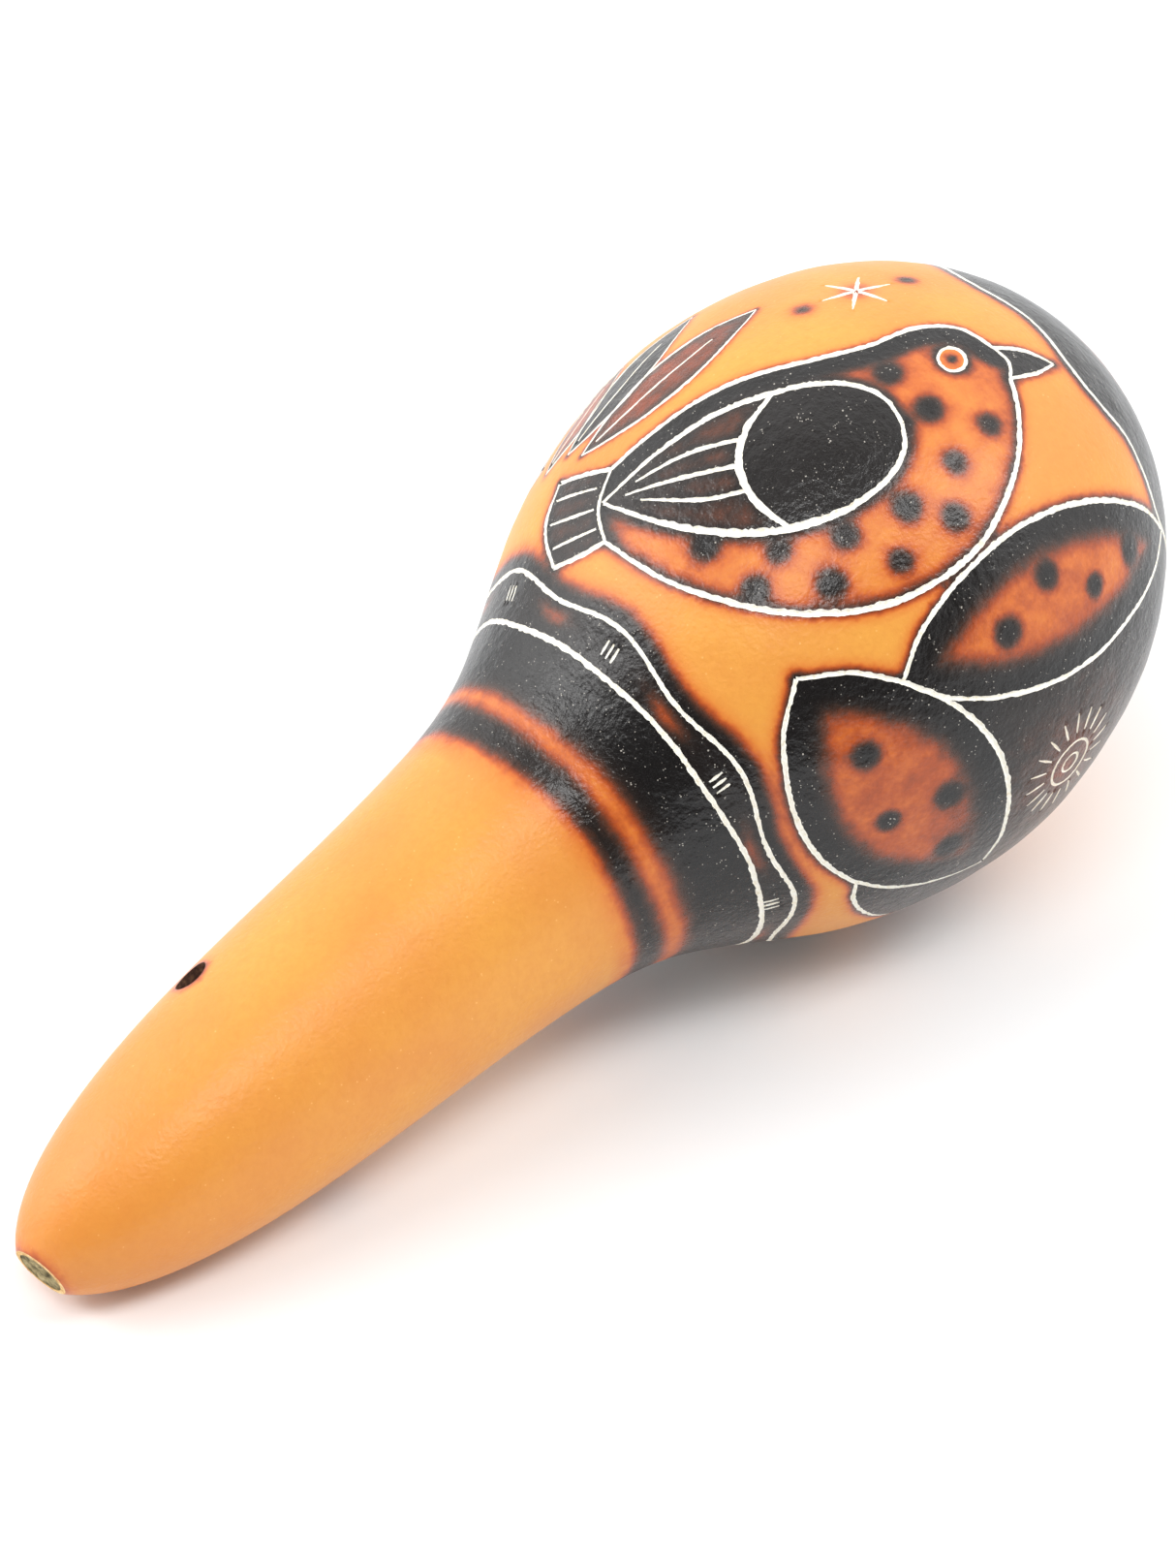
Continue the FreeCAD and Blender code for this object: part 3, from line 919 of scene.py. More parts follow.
obst = np.concatenate(pts)
ok = clear(bxy, blam, obst, 0.46)
give(bxy[ok], blam[ok])
ALL = np.concatenate(pts)
E = np.concatenate(cons)
xy, F = cdt(ALL, E)
rho_v = np.hypot(xy[:, 0], xy[:, 1])
cen = xy[F].mean(1)
F = F[(np.hypot(cen[:, 0], cen[:, 1]) < rho_j * 1.00001)]
area = ((xy[F[:, 1]] - xy[F[:, 0]])[:, 0] * (xy[F[:, 2]] - xy[F[:, 0]])[:, 1]
        - (xy[F[:, 1]] - xy[F[:, 0]])[:, 1] * (xy[F[:, 2]] - xy[F[:, 0]])[:, 0])
F[area < 0] = F[area < 0][:, ::-1]
cen = xy[F].mean(1)
flat = rho_v < SCAR_RADIUS * 0.9999
s_v = station_of_conformal(np.maximum(rho_v, SCAR_RADIUS))
th_v = np.arctan2(xy[:, 1], xy[:, 0])
r_v = np.where(flat, rho_v, radius(s_v)[0])
lam_v = r_v / np.maximum(rho_v, 1e-9)
P0 = local(s_v, r_v, th_v)
nrm = normal(s_v, th_v)
nrm[flat] = (0, 0, 1)
ratio, depth, away, _ = ribbon_field(xy, lam_v)
# small natural unevenness of the fruit, and a shallow dished scar
lump = (0.10 * np.sin(P0[:, 0] * 0.21 + 1.3) * np.sin(P0[:, 1] * 0.19 + 0.5) * np.sin(P0[:, 2] * 0.17)
        + 0.035 * np.sin(P0[:, 0] * 0.63 + P0[:, 1] * 0.5) * np.sin(P0[:, 2] * 0.57 + 1.0))
lump *= smooth((s_v - JOIN - 1.0) / 8.0)
dish = np.where(rho_v < 3.2, 0.35 * (1 - smooth(rho_v / 3.2)), 0.0) + 0.10 * np.exp(-((r_v - 3.4) / 0.8) ** 2) * (rho_v < 6)
# the lip of each cut stands a hair proud, as a gouge leaves it
lip = 0.045 * np.exp(-np.maximum(away, 0) / 0.35) * (ratio >= 0.999)
P = P0 + nrm * (lump - depth - dish + (lip * 0.8 - 0.03) * smooth((s_v - JOIN - 0.5) / 5.0))[:, None]
ratio_c, _, _, toast_c = ribbon_field(cen, lam_v[F].mean(1), 1.2)
groove = ratio_c < 1.0
burn, code = shade(xy, P0, s_v, th_v, F, cen)
burn[groove] = toast_c[groove][:, None]
sheet.put(row(P), F, np.where(groove, 1, 0), burn)

# ---------------------------------------------------------------------------
# the handle, with the hanging hole's mouths and the tilted cut
# ---------------------------------------------------------------------------
hd = np.array([math.cos(math.radians(HOLE_ANGLE)), math.sin(math.radians(HOLE_ANGLE)), 0.0])
mid = np.array([0.0, 0.0, HOLE_STATION + SKEW * radius(HOLE_STATION)[0] * math.cos(math.radians(HOLE_ANGLE))])
e1 = np.cross(hd, [0, 0, 1.0])
NH = 48
phi = np.arange(NH) * 2 * math.pi / NH


def wall_at(z):
    return wall(z)


# inner profile: the wall's thickness in from the rind
si = np.linspace(CAVITY_JOIN, SCAR, 1500)
r_o, dr_o = radius(si)
k_o = np.sqrt(1 + dr_o ** 2)
zi, ri = si + wall(si) * dr_o / k_o, r_o - wall(si) / k_o
good = ri > 2.0
zi, ri = zi[good], ri[good]
keep = np.concatenate([[True], np.diff(zi) > 1e-5])
zi, ri = zi[keep], ri[keep]
z_start = np.linspace(CAVITY_START, zi[0], 40)[:-1]
r_start = CAVITY_START_RADIUS + (ri[0] - CAVITY_START_RADIUS) * (z_start - CAVITY_START) / (zi[0] - CAVITY_START)
zi, ri = np.concatenate([z_start, zi]), np.concatenate([r_start, ri])
inner = Profile(zi, ri, ri[-1])


def mouth(radius_of, sign):
    """Where the hanging hole's wall meets a surface of revolution, as (z, th) on the skewed axis."""
    out = []
    for p in phi:
        q = mid + HOLE_RADIUS * (math.cos(p) * e1 + math.sin(p) * np.array([0, 0, 1.0]))
        lo_, hi_ = 0.0, 40.0
        for _ in range(50):
            t = 0.5 * (lo_ + hi_)
            w = q + sign * t * hd
            if math.hypot(w[0], w[1]) < radius_of(w[2] - SKEW * w[0]):
                lo_ = t
            else:
                hi_ = t
        w = q + sign * lo_ * hd
        out.append((w[2] - SKEW * w[0], math.atan2(w[1], w[0])))
    return np.array(out)


outer_mouth = [mouth(lambda z: radius(z)[0], sg) for sg in (1, -1)]
inner_mouth = [mouth(lambda z: np.interp(z, zi, ri), sg) for sg in (1, -1)]

# the cut loop on the rind
NC = 72
cut_th = np.arange(NC) * 2 * math.pi / NC
cut_s = np.zeros(NC)
for _ in range(60):
    rc_ = radius(cut_s)[0]
    cut_s = (CUT_X - SKEW) * rc_ * np.cos(cut_th) + CUT_Y * rc_ * np.sin(cut_th)


def chart_mesh(prof, t0, t1, loops, step, gap, jitter=0.0, seed=1, first=None, last=None):
    """Triangles between loops on a profile. loops are (t, th) arrays; those in 'holes' are cut out."""
    P_, C_, n_ = [], [], 0
    polys = []
    scale = prof.rho(t0 if t0 is not None else loops[0][0].mean())
    for t, th in loops:
        rho = prof.rho(t) / scale * 100
        q = np.stack([rho * np.cos(th), rho * np.sin(th)], -1)
        polys.append(q)
        P_.append(q)
        m = len(q)
        C_.append(np.stack([np.arange(m), (np.arange(m) + 1) % m], 1) + n_)
        n_ += m
    T, H = circle_rings(prof, t0, t1, step)
    rho = prof.rho(T) / scale * 100
    q = np.stack([rho * np.cos(H), rho * np.sin(H)], -1)
    lam = prof.at(T)[1] / rho
    if jitter:
        q = q + np.random.RandomState(seed).uniform(-jitter, jitter, q.shape) / lam[:, None]
    big, small = polys[0], polys[1]
    use = inside(q, big) & ~inside(q, small)
    for h in polys[2:]:
        use &= ~inside(q, h)
    q, lam = q[use], lam[use]
    use = clear(q, lam, np.concatenate(P_), gap)
    q = q[use]
    P_.append(q)
    v, f = cdt(np.concatenate(P_), np.concatenate(C_))
    c = v[f].mean(1)
    use = inside(c, big) & ~inside(c, small)
    for h in polys[2:]:
        use &= ~inside(c, h)
    f = f[use]
    a = ((v[f[:, 1]] - v[f[:, 0]])[:, 0] * (v[f[:, 2]] - v[f[:, 0]])[:, 1]
         - (v[f[:, 1]] - v[f[:, 0]])[:, 1] * (v[f[:, 2]] - v[f[:, 0]])[:, 0])
    f[a < 0] = f[a < 0][:, ::-1]
    rho = np.hypot(v[:, 0], v[:, 1]) * scale / 100
    return prof.back(rho), np.arctan2(v[:, 1], v[:, 0]), f


jt = outer.t_of_z(JOIN)
loops = [(outer.t_of_z(cut_s), cut_th), (np.full(NJ, jt), ring_th)]
loops += [(outer.t_of_z(m[:, 0]), m[:, 1]) for m in outer_mouth]
t_h, th_h, f_h = chart_mesh(outer, outer.t_of_z(-1.0), jt, loops, 1.25, 0.62, 0.1)
s_h, r_h = outer.at(t_h)
P_h = local(s_h, r_h, th_h)
n_h = normal(s_h, th_h)
hole_gap = np.full(len(P_h), 99.0)
for sg in (1, -1):
    rel = P_h - mid
    along = rel @ hd
    side_ = np.linalg.norm(rel - along[:, None] * hd, axis=1) - HOLE_RADIUS
    hole_gap = np.where(along * sg > 0, np.minimum(hole_gap, side_), hole_gap)
cut_gap = P_h[:, 2] - (CUT_X * P_h[:, 0] + CUT_Y * P_h[:, 1])
hold = smooth((hole_gap - 0.3) / 2.0) * smooth((cut_gap - 0.3) / 3.0) * smooth((JOIN - s_h) / 8.0)
lump_h = 0.10 * np.sin(P_h[:, 0] * 0.31 + 1.3) * np.sin(P_h[:, 1] * 0.33 + 0.5) * np.sin(P_h[:, 2] * 0.13 + 0.7)
P_h = P_h + n_h * (lump_h * hold)[:, None] - n_h * 0.0
b_h = scorch("neck", False, P_h, s_h, th_h)
# soot in the hole's rim and a thin dark line at the saw cut
b_h = over(b_h, 0.45 * band(np.maximum(hole_gap, 0), 0.45, 1.2))
b_h = over(b_h, 0.30 * band(np.maximum(cut_gap, 0), 0.55, 1.2))
sheet.put(row(P_h), f_h, 0, b_h[f_h])

# ---------------------------------------------------------------------------
# inner surface, hole walls, cut face, socket
# ---------------------------------------------------------------------------
NE = 40
end_th = np.arange(NE) * 2 * math.pi / NE
NT = 20
top_th = np.arange(NT) * 2 * math.pi / NT
loops = [(np.zeros(NE), end_th), (np.full(NT, inner.t[-1]), top_th)]
loops += [(inner.t_of_z(m[:, 0]), m[:, 1]) for m in inner_mouth]
t_i, th_i, f_i = chart_mesh(inner, 0.0, inner.t[-1], loops, 2.6, 1.0, 0.3, 3)
z_i, r_i = inner.at(t_i)
P_i = local(z_i, r_i, th_i)
sheet.put(row(P_i), f_i[:, ::-1], 2)
# cap at the inner pole
zt, rt_ = inner.at(inner.t[-1])
cap = local(np.full(NT, zt), np.full(NT, rt_), top_th)
v = np.vstack([cap, local(np.array([zt + 0.02]), np.array([0.0]), np.array([0.0]))])
f = np.array([(i, (i + 1) % NT, NT) for i in range(NT)])[:, ::-1]
sheet.put(row(v), f, 2)
# walls of the hole, a little rough from the hot iron
for sg, om, im in ((1, outer_mouth[0], inner_mouth[0]), (-1, outer_mouth[1], inner_mouth[1])):
    a = local(om[:, 0], radius(om[:, 0])[0], om[:, 1])
    b = local(im[:, 0], np.interp(im[:, 0], zi, ri), im[:, 1])
    K = 7
    rows_ = []
    for k in range(K):
        t = k / (K - 1)
        p = a * (1 - t) + b * t
        if 0 < k < K - 1:
            c = mid + ((p - mid) @ hd)[:, None] * hd
            amp = 0.05 * math.sin(math.pi * t)
            p = p + (p - c) / HOLE_RADIUS * (amp * (np.sin(phi * 7 + k * 1.7) + np.sin(phi * 3 - k)))[:, None]
        rows_.append(p)
    v = np.concatenate(rows_)
    f = []
    for k in range(K - 1):
        for i in range(NH):
            j = (i + 1) % NH
            f += [(k * NH + i, k * NH + j, (k + 1) * NH + i), (k * NH + j, (k + 1) * NH + j, (k + 1) * NH + i)]
    f = np.array(f)
    cc = v[f].mean(1)
    axis_pt = mid + ((cc - mid) @ hd)[:, None] * hd
    f, _ = orient(v, f, axis_pt - cc)
    sheet.put(row(v), f, 4)


def flat_mesh(big, small, step, gap):
    """Triangles of a flat ring between two loops in x, y."""
    P_ = [big, small]
    C_ = [np.stack([np.arange(len(big)), (np.arange(len(big)) + 1) % len(big)], 1),
          np.stack([np.arange(len(small)), (np.arange(len(small)) + 1) % len(small)], 1) + len(big)]
    lo_, hi_ = big.min(0), big.max(0)
    gx, gy = np.meshgrid(np.arange(lo_[0], hi_[0], step), np.arange(lo_[1], hi_[1], step))
    g = np.stack([gx.ravel(), gy.ravel()], -1) + np.random.RandomState(9).uniform(-step / 5, step / 5, (gx.size, 2))
    g = g[inside(g, big) & ~inside(g, small)]
    if len(g):
        d = np.linalg.norm(g[:, None] - np.concatenate(P_)[None], axis=2).min(1)
        g = g[d > gap]
        P_.append(g)
    v, f = cdt(np.concatenate(P_), np.concatenate(C_))
    c = v[f].mean(1)
    f = f[inside(c, big) & ~inside(c, small)]
    return v, f


NK = 56
kt = np.arange(NK) * 2 * math.pi / NK
socket = np.stack([CORE_OFFSET_X + (CORE_RADIUS + 0.02) * np.cos(kt), (CORE_RADIUS + 0.02) * np.sin(kt)], -1)
# cut face: the saw's face with a slightly broken inner and outer edge
rc_ = radius(cut_s)[0]
big = np.stack([rc_ * np.cos(cut_th), rc_ * np.sin(cut_th)], -1)
v, f = flat_mesh(big, socket, 0.33, 0.16)
zc = CUT_X * v[:, 0] + CUT_Y * v[:, 1]
edge_d = np.minimum(np.linalg.norm(v[:, None] - big[None], axis=2).min(1), np.linalg.norm(v[:, None] - socket[None], axis=2).min(1))
zc = zc + smooth(edge_d / 0.3) * 0.06 * (np.sin(v[:, 0] * 9.0 + v[:, 1] * 3.0) + np.sin(v[:, 1] * 13.0 - v[:, 0] * 4.0))
v3 = np.stack([v[:, 0], v[:, 1], zc], -1)
f, _ = orient(v3, f, np.tile([0, 0, -1.0], (len(f), 1)))
sheet.put(row(v3), f, 3)
# socket wall
za = CUT_X * socket[:, 0] + CUT_Y * socket[:, 1]
zb = CAVITY_START + SKEW * socket[:, 0]
K = 6
v = np.concatenate([np.column_stack([socket, za * (1 - k / (K - 1)) + zb * k / (K - 1)]) for k in range(K)])
f = []
for k in range(K - 1):
    for i in range(NK):
        j = (i + 1) % NK
        f += [(k * NK + i, k * NK + j, (k + 1) * NK + i), (k * NK + j, (k + 1) * NK + j, (k + 1) * NK + i)]
f = np.array(f)
cc = v[f].mean(1)
f, _ = orient(v, f, np.column_stack([CORE_OFFSET_X - cc[:, 0], -cc[:, 1], 0 * cc[:, 0]]))
sheet.put(row(v), f, 2)
# end of the cavity round the core
end = np.stack([CAVITY_START_RADIUS * np.cos(end_th), CAVITY_START_RADIUS * np.sin(end_th)], -1)
v, f = flat_mesh(end, socket, 0.8, 0.3)
v3 = np.column_stack([v, CAVITY_START + SKEW * v[:, 0]])
f, _ = orient(v3, f, np.tile([0, 0, 1.0], (len(f), 1)))
sheet.put(row(v3), f, 2)


# ---------------------------------------------------------------------------
# from the collected sheets to one closed mesh
# ---------------------------------------------------------------------------
def make(name, v, f, mats, mat_index=None, burn=None, smooth_angle=35.0, sharp_between=True):
    me = bpy.data.meshes.new(name)
    me.vertices.add(len(v))
    me.vertices.foreach_set("co", np.asarray(v, np.float32).ravel())
    me.loops.add(len(f) * 3)
    me.loops.foreach_set("vertex_index", np.asarray(f, np.int32).ravel())
    me.polygons.add(len(f))
    me.polygons.foreach_set("loop_start", np.arange(0, len(f) * 3, 3, dtype=np.int32))
    me.update(calc_edges=True)
    for m in mats:
        me.materials.append(m)
    if mat_index is not None:
        me.polygons.foreach_set("material_index", np.asarray(mat_index, np.int32))
    me.polygons.foreach_set("use_smooth", np.ones(len(f), bool))
    if burn is not None:
        at = me.attributes.new("burn", "FLOAT", "CORNER")
        at.data.foreach_set("value", np.asarray(burn, np.float32).ravel())
    me.validate()
    me.update()
    ob = bpy.data.objects.new(name, me)
    bpy.context.scene.collection.objects.link(ob)
    if mat_index is not None and sharp_between:
        ne = len(me.edges)
        ev = np.zeros(ne * 2, np.int32)
        me.edges.foreach_get("vertices", ev)
        le = np.zeros(len(me.loops), np.int32)
        me.loops.foreach_get("edge_index", le)
        mi = np.zeros(len(me.polygons), np.int32)
        me.polygons.foreach_get("material_index", mi)
        lm = np.repeat(mi, 3)
        lo_ = np.full(ne, 99)
        hi_ = np.full(ne, -1)
        np.minimum.at(lo_, le, lm)
        np.maximum.at(hi_, le, lm)
        sh = me.attributes.new("sharp_edge", "BOOLEAN", "EDGE")
        sh.data.foreach_set("value", (lo_ != hi_))
    return ob


def finish_mesh(ob, tol=3e-6, keep_sharp=True):
    """Welds the seams between sheets and marks the edges where the material changes."""
    import bmesh
    me = ob.data
    bm = bmesh.new()
    bm.from_mesh(me)
    bmesh.ops.remove_doubles(bm, verts=bm.verts, dist=tol)
    loose = [v for v in bm.verts if not v.link_faces]
    bmesh.ops.delete(bm, geom=loose, context="VERTS")
    for e in bm.edges:
        if len(e.link_faces) == 2:
            a, b = e.link_faces
            e.smooth = not (keep_sharp and a.material_index != b.material_index)
        else:
            e.smooth = True
    open_edges = sum(1 for e in bm.edges if len(e.link_faces) != 2)
    bm.to_mesh(me)
    bm.free()
    me.update()
    return open_edges


# ---------------------------------------------------------------------------
# materials
# ---------------------------------------------------------------------------
def lin(r, g, b):
    out = []
    for c in (r, g, b):
        c /= 255.0
        out.append(c / 12.92 if c <= 0.04045 else ((c + 0.055) / 1.055) ** 2.4)
    return (*out, 1.0)


class Mat:
    def __init__(self, name):
        self.mat = bpy.data.materials.new(name)
        self.mat.use_nodes = True
        self.nt = self.mat.node_tree
        self.nt.nodes.clear()
        self.out = self.nt.nodes.new("ShaderNodeOutputMaterial")
        self.bsdf = self.nt.nodes.new("ShaderNodeBsdfPrincipled")
        self.nt.links.new(self.bsdf.outputs[0], self.out.inputs[0])
        tc = self.nt.nodes.new("ShaderNodeTexCoord")
        mp = self.nt.nodes.new("ShaderNodeMapping")
        mp.inputs["Scale"].default_value = (1000, 1000, 1000)
        self.nt.links.new(tc.outputs["Object"], mp.inputs["Vector"])
        self.co = mp.outputs[0]

    def link(self, a, b):
        self.nt.links.new(a, b)

    def noise(self, scale, detail=2.0, rough=0.5, co=None, lac=2.0, dist=0.0):
        n = self.nt.nodes.new("ShaderNodeTexNoise")
        n.inputs["Scale"].default_value = scale
        n.inputs["Detail"].default_value = detail
        n.inputs["Roughness"].default_value = rough
        n.inputs["Lacunarity"].default_value = lac
        n.inputs["Distortion"].default_value = dist
        self.link(co or self.co, n.inputs["Vector"])
        return n.outputs["Fac"]

    def voronoi(self, scale, feature="F1", co=None, rand=1.0, out="Distance"):
        n = self.nt.nodes.new("ShaderNodeTexVoronoi")
        n.feature = feature
        n.inputs["Scale"].default_value = scale
        n.inputs["Randomness"].default_value = rand
        self.link(co or self.co, n.inputs["Vector"])
        return n.outputs[out]

    def stretch(self, scale, rot=(0, 0, 0)):
        n = self.nt.nodes.new("ShaderNodeMapping")
        n.inputs["Scale"].default_value = scale
        n.inputs["Rotation"].default_value = rot
        self.link(self.co, n.inputs["Vector"])
        return n.outputs[0]

    def math(self, op, a, b=None, c=None, clamp=False):
        n = self.nt.nodes.new("ShaderNodeMath")
        n.operation = op
        n.use_clamp = clamp
        for i, v in enumerate((a, b, c)):
            if v is None:
                continue
            if isinstance(v, (int, float)):
                n.inputs[i].default_value = v
            else:
                self.link(v, n.inputs[i])
        return n.outputs[0]

    def remap(self, v, a, b, c=0.0, d=1.0, kind="SMOOTHSTEP"):
        n = self.nt.nodes.new("ShaderNodeMapRange")
        n.interpolation_type = kind
        for k, x in zip(("From Min", "From Max", "To Min", "To Max"), (a, b, c, d)):
            n.inputs[k].default_value = x
        self.link(v, n.inputs["Value"])
        return n.outputs[0]

    def ramp(self, v, stops):
        n = self.nt.nodes.new("ShaderNodeValToRGB")
        cr = n.color_ramp
        cr.interpolation = "LINEAR"
        while len(cr.elements) < len(stops):
            cr.elements.new(0.5)
        for e, (p, c) in zip(cr.elements, stops):
            e.position = p
            e.color = c
        self.link(v, n.inputs[0])
        return n.outputs[0]

    def mix(self, f, a, b, mode="MIX"):
        n = self.nt.nodes.new("ShaderNodeMix")
        n.data_type = "RGBA"
        n.blend_type = mode
        n.clamp_factor = True
        for i, v in ((0, f), (6, a), (7, b)):
            if isinstance(v, (int, float)):
                n.inputs[i].default_value = v
            elif isinstance(v, tuple):
                n.inputs[i].default_value = v
            else:
                self.link(v, n.inputs[i])
        return n.outputs[2]

    def attr(self, name):
        n = self.nt.nodes.new("ShaderNodeAttribute")
        n.attribute_name = name
        return n.outputs["Fac"]

    def bump(self, height, strength, dist, normal=None):
        n = self.nt.nodes.new("ShaderNodeBump")
        n.inputs["Strength"].default_value = strength
        n.inputs["Distance"].default_value = dist
        self.link(height, n.inputs["Height"])
        if normal is not None:
            self.link(normal, n.inputs["Normal"])
        return n.outputs[0]

    def set(self, **kw):
        for k, v in kw.items():
            s = self.bsdf.inputs[k.replace("_", " ")]
            if isinstance(v, (int, float, tuple)):
                s.default_value = v
            else:
                self.link(v, s)


def rind():
    m = Mat("rind")
    burn = m.attr("burn")
    soft = m.noise(0.33, 3.0, 0.55)
    blot = m.noise(1.25, 2.0, 0.55)
    fine = m.noise(4.2, 2.0, 0.6)
    # scorching takes unevenly where it is neither full nor absent
    window = m.math("MULTIPLY", m.remap(burn, 0.06, 0.30), m.remap(burn, 1.0, 0.80))
    wob = m.math("ADD", m.math("MULTIPLY", m.math("SUBTRACT", soft, 0.5), 0.34),
                 m.math("MULTIPLY", m.math("SUBTRACT", blot, 0.5), 0.13))
    wob = m.math("ADD", wob, m.math("MULTIPLY", m.math("SUBTRACT", fine, 0.5), 0.05))
    b = m.math("ADD", burn, m.math("MULTIPLY", wob, window), clamp=True)
    col = m.ramp(b, [(0.0, lin(231, 168, 70)), (0.10, lin(223, 146, 59)), (0.20, lin(217, 129, 50)),
                     (0.33, lin(202, 103, 39)), (0.45, lin(170, 75, 30)), (0.56, lin(134, 60, 30)),
                     (0.66, lin(96, 51, 33)), (0.77, lin(62, 38, 28)), (0.88, lin(34, 25, 21)), (1.0, lin(14, 12, 12))])
    # slow drift of the natural rind between honey and apricot, and pale freckles in it
    drift = m.remap(m.noise(0.045, 2.0, 0.5), 0.35, 0.65)
    plain = m.remap(burn, 0.30, 0.05)
    col = m.mix(m.math("MULTIPLY", m.math("MULTIPLY", drift, plain), 0.55), col, lin(216, 134, 58))
    grain = m.remap(m.noise(0.85, 4.0, 0.62), 0.35, 0.70)
    col = m.mix(m.math("MULTIPLY", m.math("MULTIPLY", grain, plain), 0.20), col, lin(208, 124, 46))
    frec = m.remap(m.voronoi(0.95), 0.16, 0.07)
    pick = m.remap(m.noise(0.5, 1.0, 0.5), 0.52, 0.62)
    col = m.mix(m.math("MULTIPLY", m.math("MULTIPLY", frec, pick), m.math("MULTIPLY", plain, 0.35)), col, lin(255, 205, 130))
    # painted glints: pale specks on the black stand in for light catching on the bumpy lacquer
    glint_flecks = m.remap(m.voronoi(1.9), 0.20, 0.12)
    glint_flecks_2 = m.remap(m.voronoi(0.9), 0.13, 0.09)
    glint_flecks = m.math("MULTIPLY", m.math("MAXIMUM", glint_flecks, glint_flecks_2), m.remap(m.noise(0.75, 1.0, 0.5), 0.52, 0.60))
    dark = m.remap(burn, 0.75, 0.95)
    col = m.mix(m.math("MULTIPLY", m.math("MULTIPLY", glint_flecks, dark), 0.75), col, lin(196, 190, 180))
    m.set(Base_Color=col)
    rough = m.math("ADD", m.remap(fine, 0.3, 0.7, 0.23, 0.30, "LINEAR"), m.remap(burn, 0.60, 0.10, 0.02, 0.17))
    m.set(Roughness=rough)
    m.set(Specular_IOR_Level=0.43, IOR=1.5, Coat_Weight=0.10, Coat_Roughness=0.18, Coat_IOR=1.5)
    h1 = m.noise(2.1, 2.0, 0.55)
    h2 = m.voronoi(1.5, "SMOOTH_F1")
    h = m.math("ADD", h1, m.math("MULTIPLY", h2, 0.8))
    n1 = m.bump(h, 0.7, 0.00007)
    wrinkle = m.math("ADD", m.noise(0.75, 3.0, 0.6), m.math("MULTIPLY", m.noise(0.22, 2.0, 0.5), 1.6))
    n2 = m.bump(wrinkle, 1.0, 0.00018, n1)
    lvl = m.nt.nodes[n2.node.name].inputs["Strength"]
    m.link(m.remap(burn, 0.10, 0.80, 0.28, 0.90), lvl)
    m.set(Normal=n2, Coat_Normal=n2)
    return m.mat


def flesh():
    m = Mat("gouged_flesh")
    a = m.noise(1.6, 4.0, 0.65)
    c = m.ramp(m.remap(a, 0.28, 0.72, kind="LINEAR"), [(0.0, lin(236, 226, 200)), (0.4, lin(252, 248, 236)), (1.0, lin(255, 254, 249))])
    soot = m.remap(m.noise(0.55, 3.0, 0.6), 0.60, 0.78)
    c = m.mix(m.math("MULTIPLY", soot, 0.35), c, lin(190, 160, 110))
    c = m.mix(m.attr("burn"), c, lin(206, 158, 112))
    m.set(Base_Color=c, Roughness=0.72, Specular_IOR_Level=0.3)
    m.set(Normal=m.bump(m.noise(6.0, 3.0, 0.6), 0.6, 0.00008))
    return m.mat


def pith():
    m = Mat("inner_pith")
    a = m.noise(0.8, 5.0, 0.65)
    c = m.ramp(m.remap(a, 0.3, 0.7, kind="LINEAR"), [(0.0, lin(150, 112, 70)), (0.5, lin(196, 160, 110)), (1.0, lin(222, 196, 150))])
    m.set(Base_Color=c, Roughness=0.9, Specular_IOR_Level=0.2)
    m.set(Normal=m.bump(m.noise(1.6, 5.0, 0.7), 0.8, 0.0004))
    return m.mat


def charred():
    m = Mat("drilled_wall")
    a = m.noise(1.3, 4.0, 0.6, m.stretch((1.0, 1.0, 1.0)))
    c = m.ramp(m.remap(a, 0.3, 0.7, kind="LINEAR"), [(0.0, lin(46, 28, 20)), (0.6, lin(88, 60, 46)), (1.0, lin(120, 86, 62))])
    m.set(Base_Color=c, Roughness=0.8, Specular_IOR_Level=0.25)
    m.set(Normal=m.bump(m.noise(3.0, 3.0, 0.6), 0.8, 0.0002))
    return m.mat


def sawn():
    m = Mat("sawn_rim")
    a = m.noise(1.1, 4.0, 0.6)
    c = m.ramp(m.remap(a, 0.3, 0.7, kind="LINEAR"), [(0.0, lin(196, 142, 82)), (0.5, lin(232, 190, 128)), (1.0, lin(246, 218, 166))])
    pores = m.remap(m.voronoi(2.2), 0.22, 0.10)
    c = m.mix(m.math("MULTIPLY", pores, 0.45), c, lin(120, 84, 50))
    m.set(Base_Color=c, Roughness=0.75, Specular_IOR_Level=0.3)
    m.set(Normal=m.bump(m.noise(4.0, 4.0, 0.65), 0.8, 0.00012))
    return m.mat


def stem_wood():
    m = Mat("stem_wood")
    a = m.noise(0.75, 4.0, 0.62)
    c = m.ramp(m.remap(a, 0.28, 0.72, kind="LINEAR"),
               [(0.0, lin(70, 62, 48)), (0.35, lin(132, 120, 88)), (0.7, lin(176, 160, 118)), (1.0, lin(204, 186, 146))])
    holes = m.remap(m.voronoi(0.85), 0.30, 0.12)
    c = m.mix(m.math("MULTIPLY", holes, m.remap(m.noise(0.6, 1.0), 0.42, 0.56)), c, lin(58, 46, 40))
    m.set(Base_Color=c, Roughness=0.85, Specular_IOR_Level=0.2)
    m.set(Normal=m.bump(m.noise(3.5, 5.0, 0.7), 0.9, 0.0002))
    return m.mat


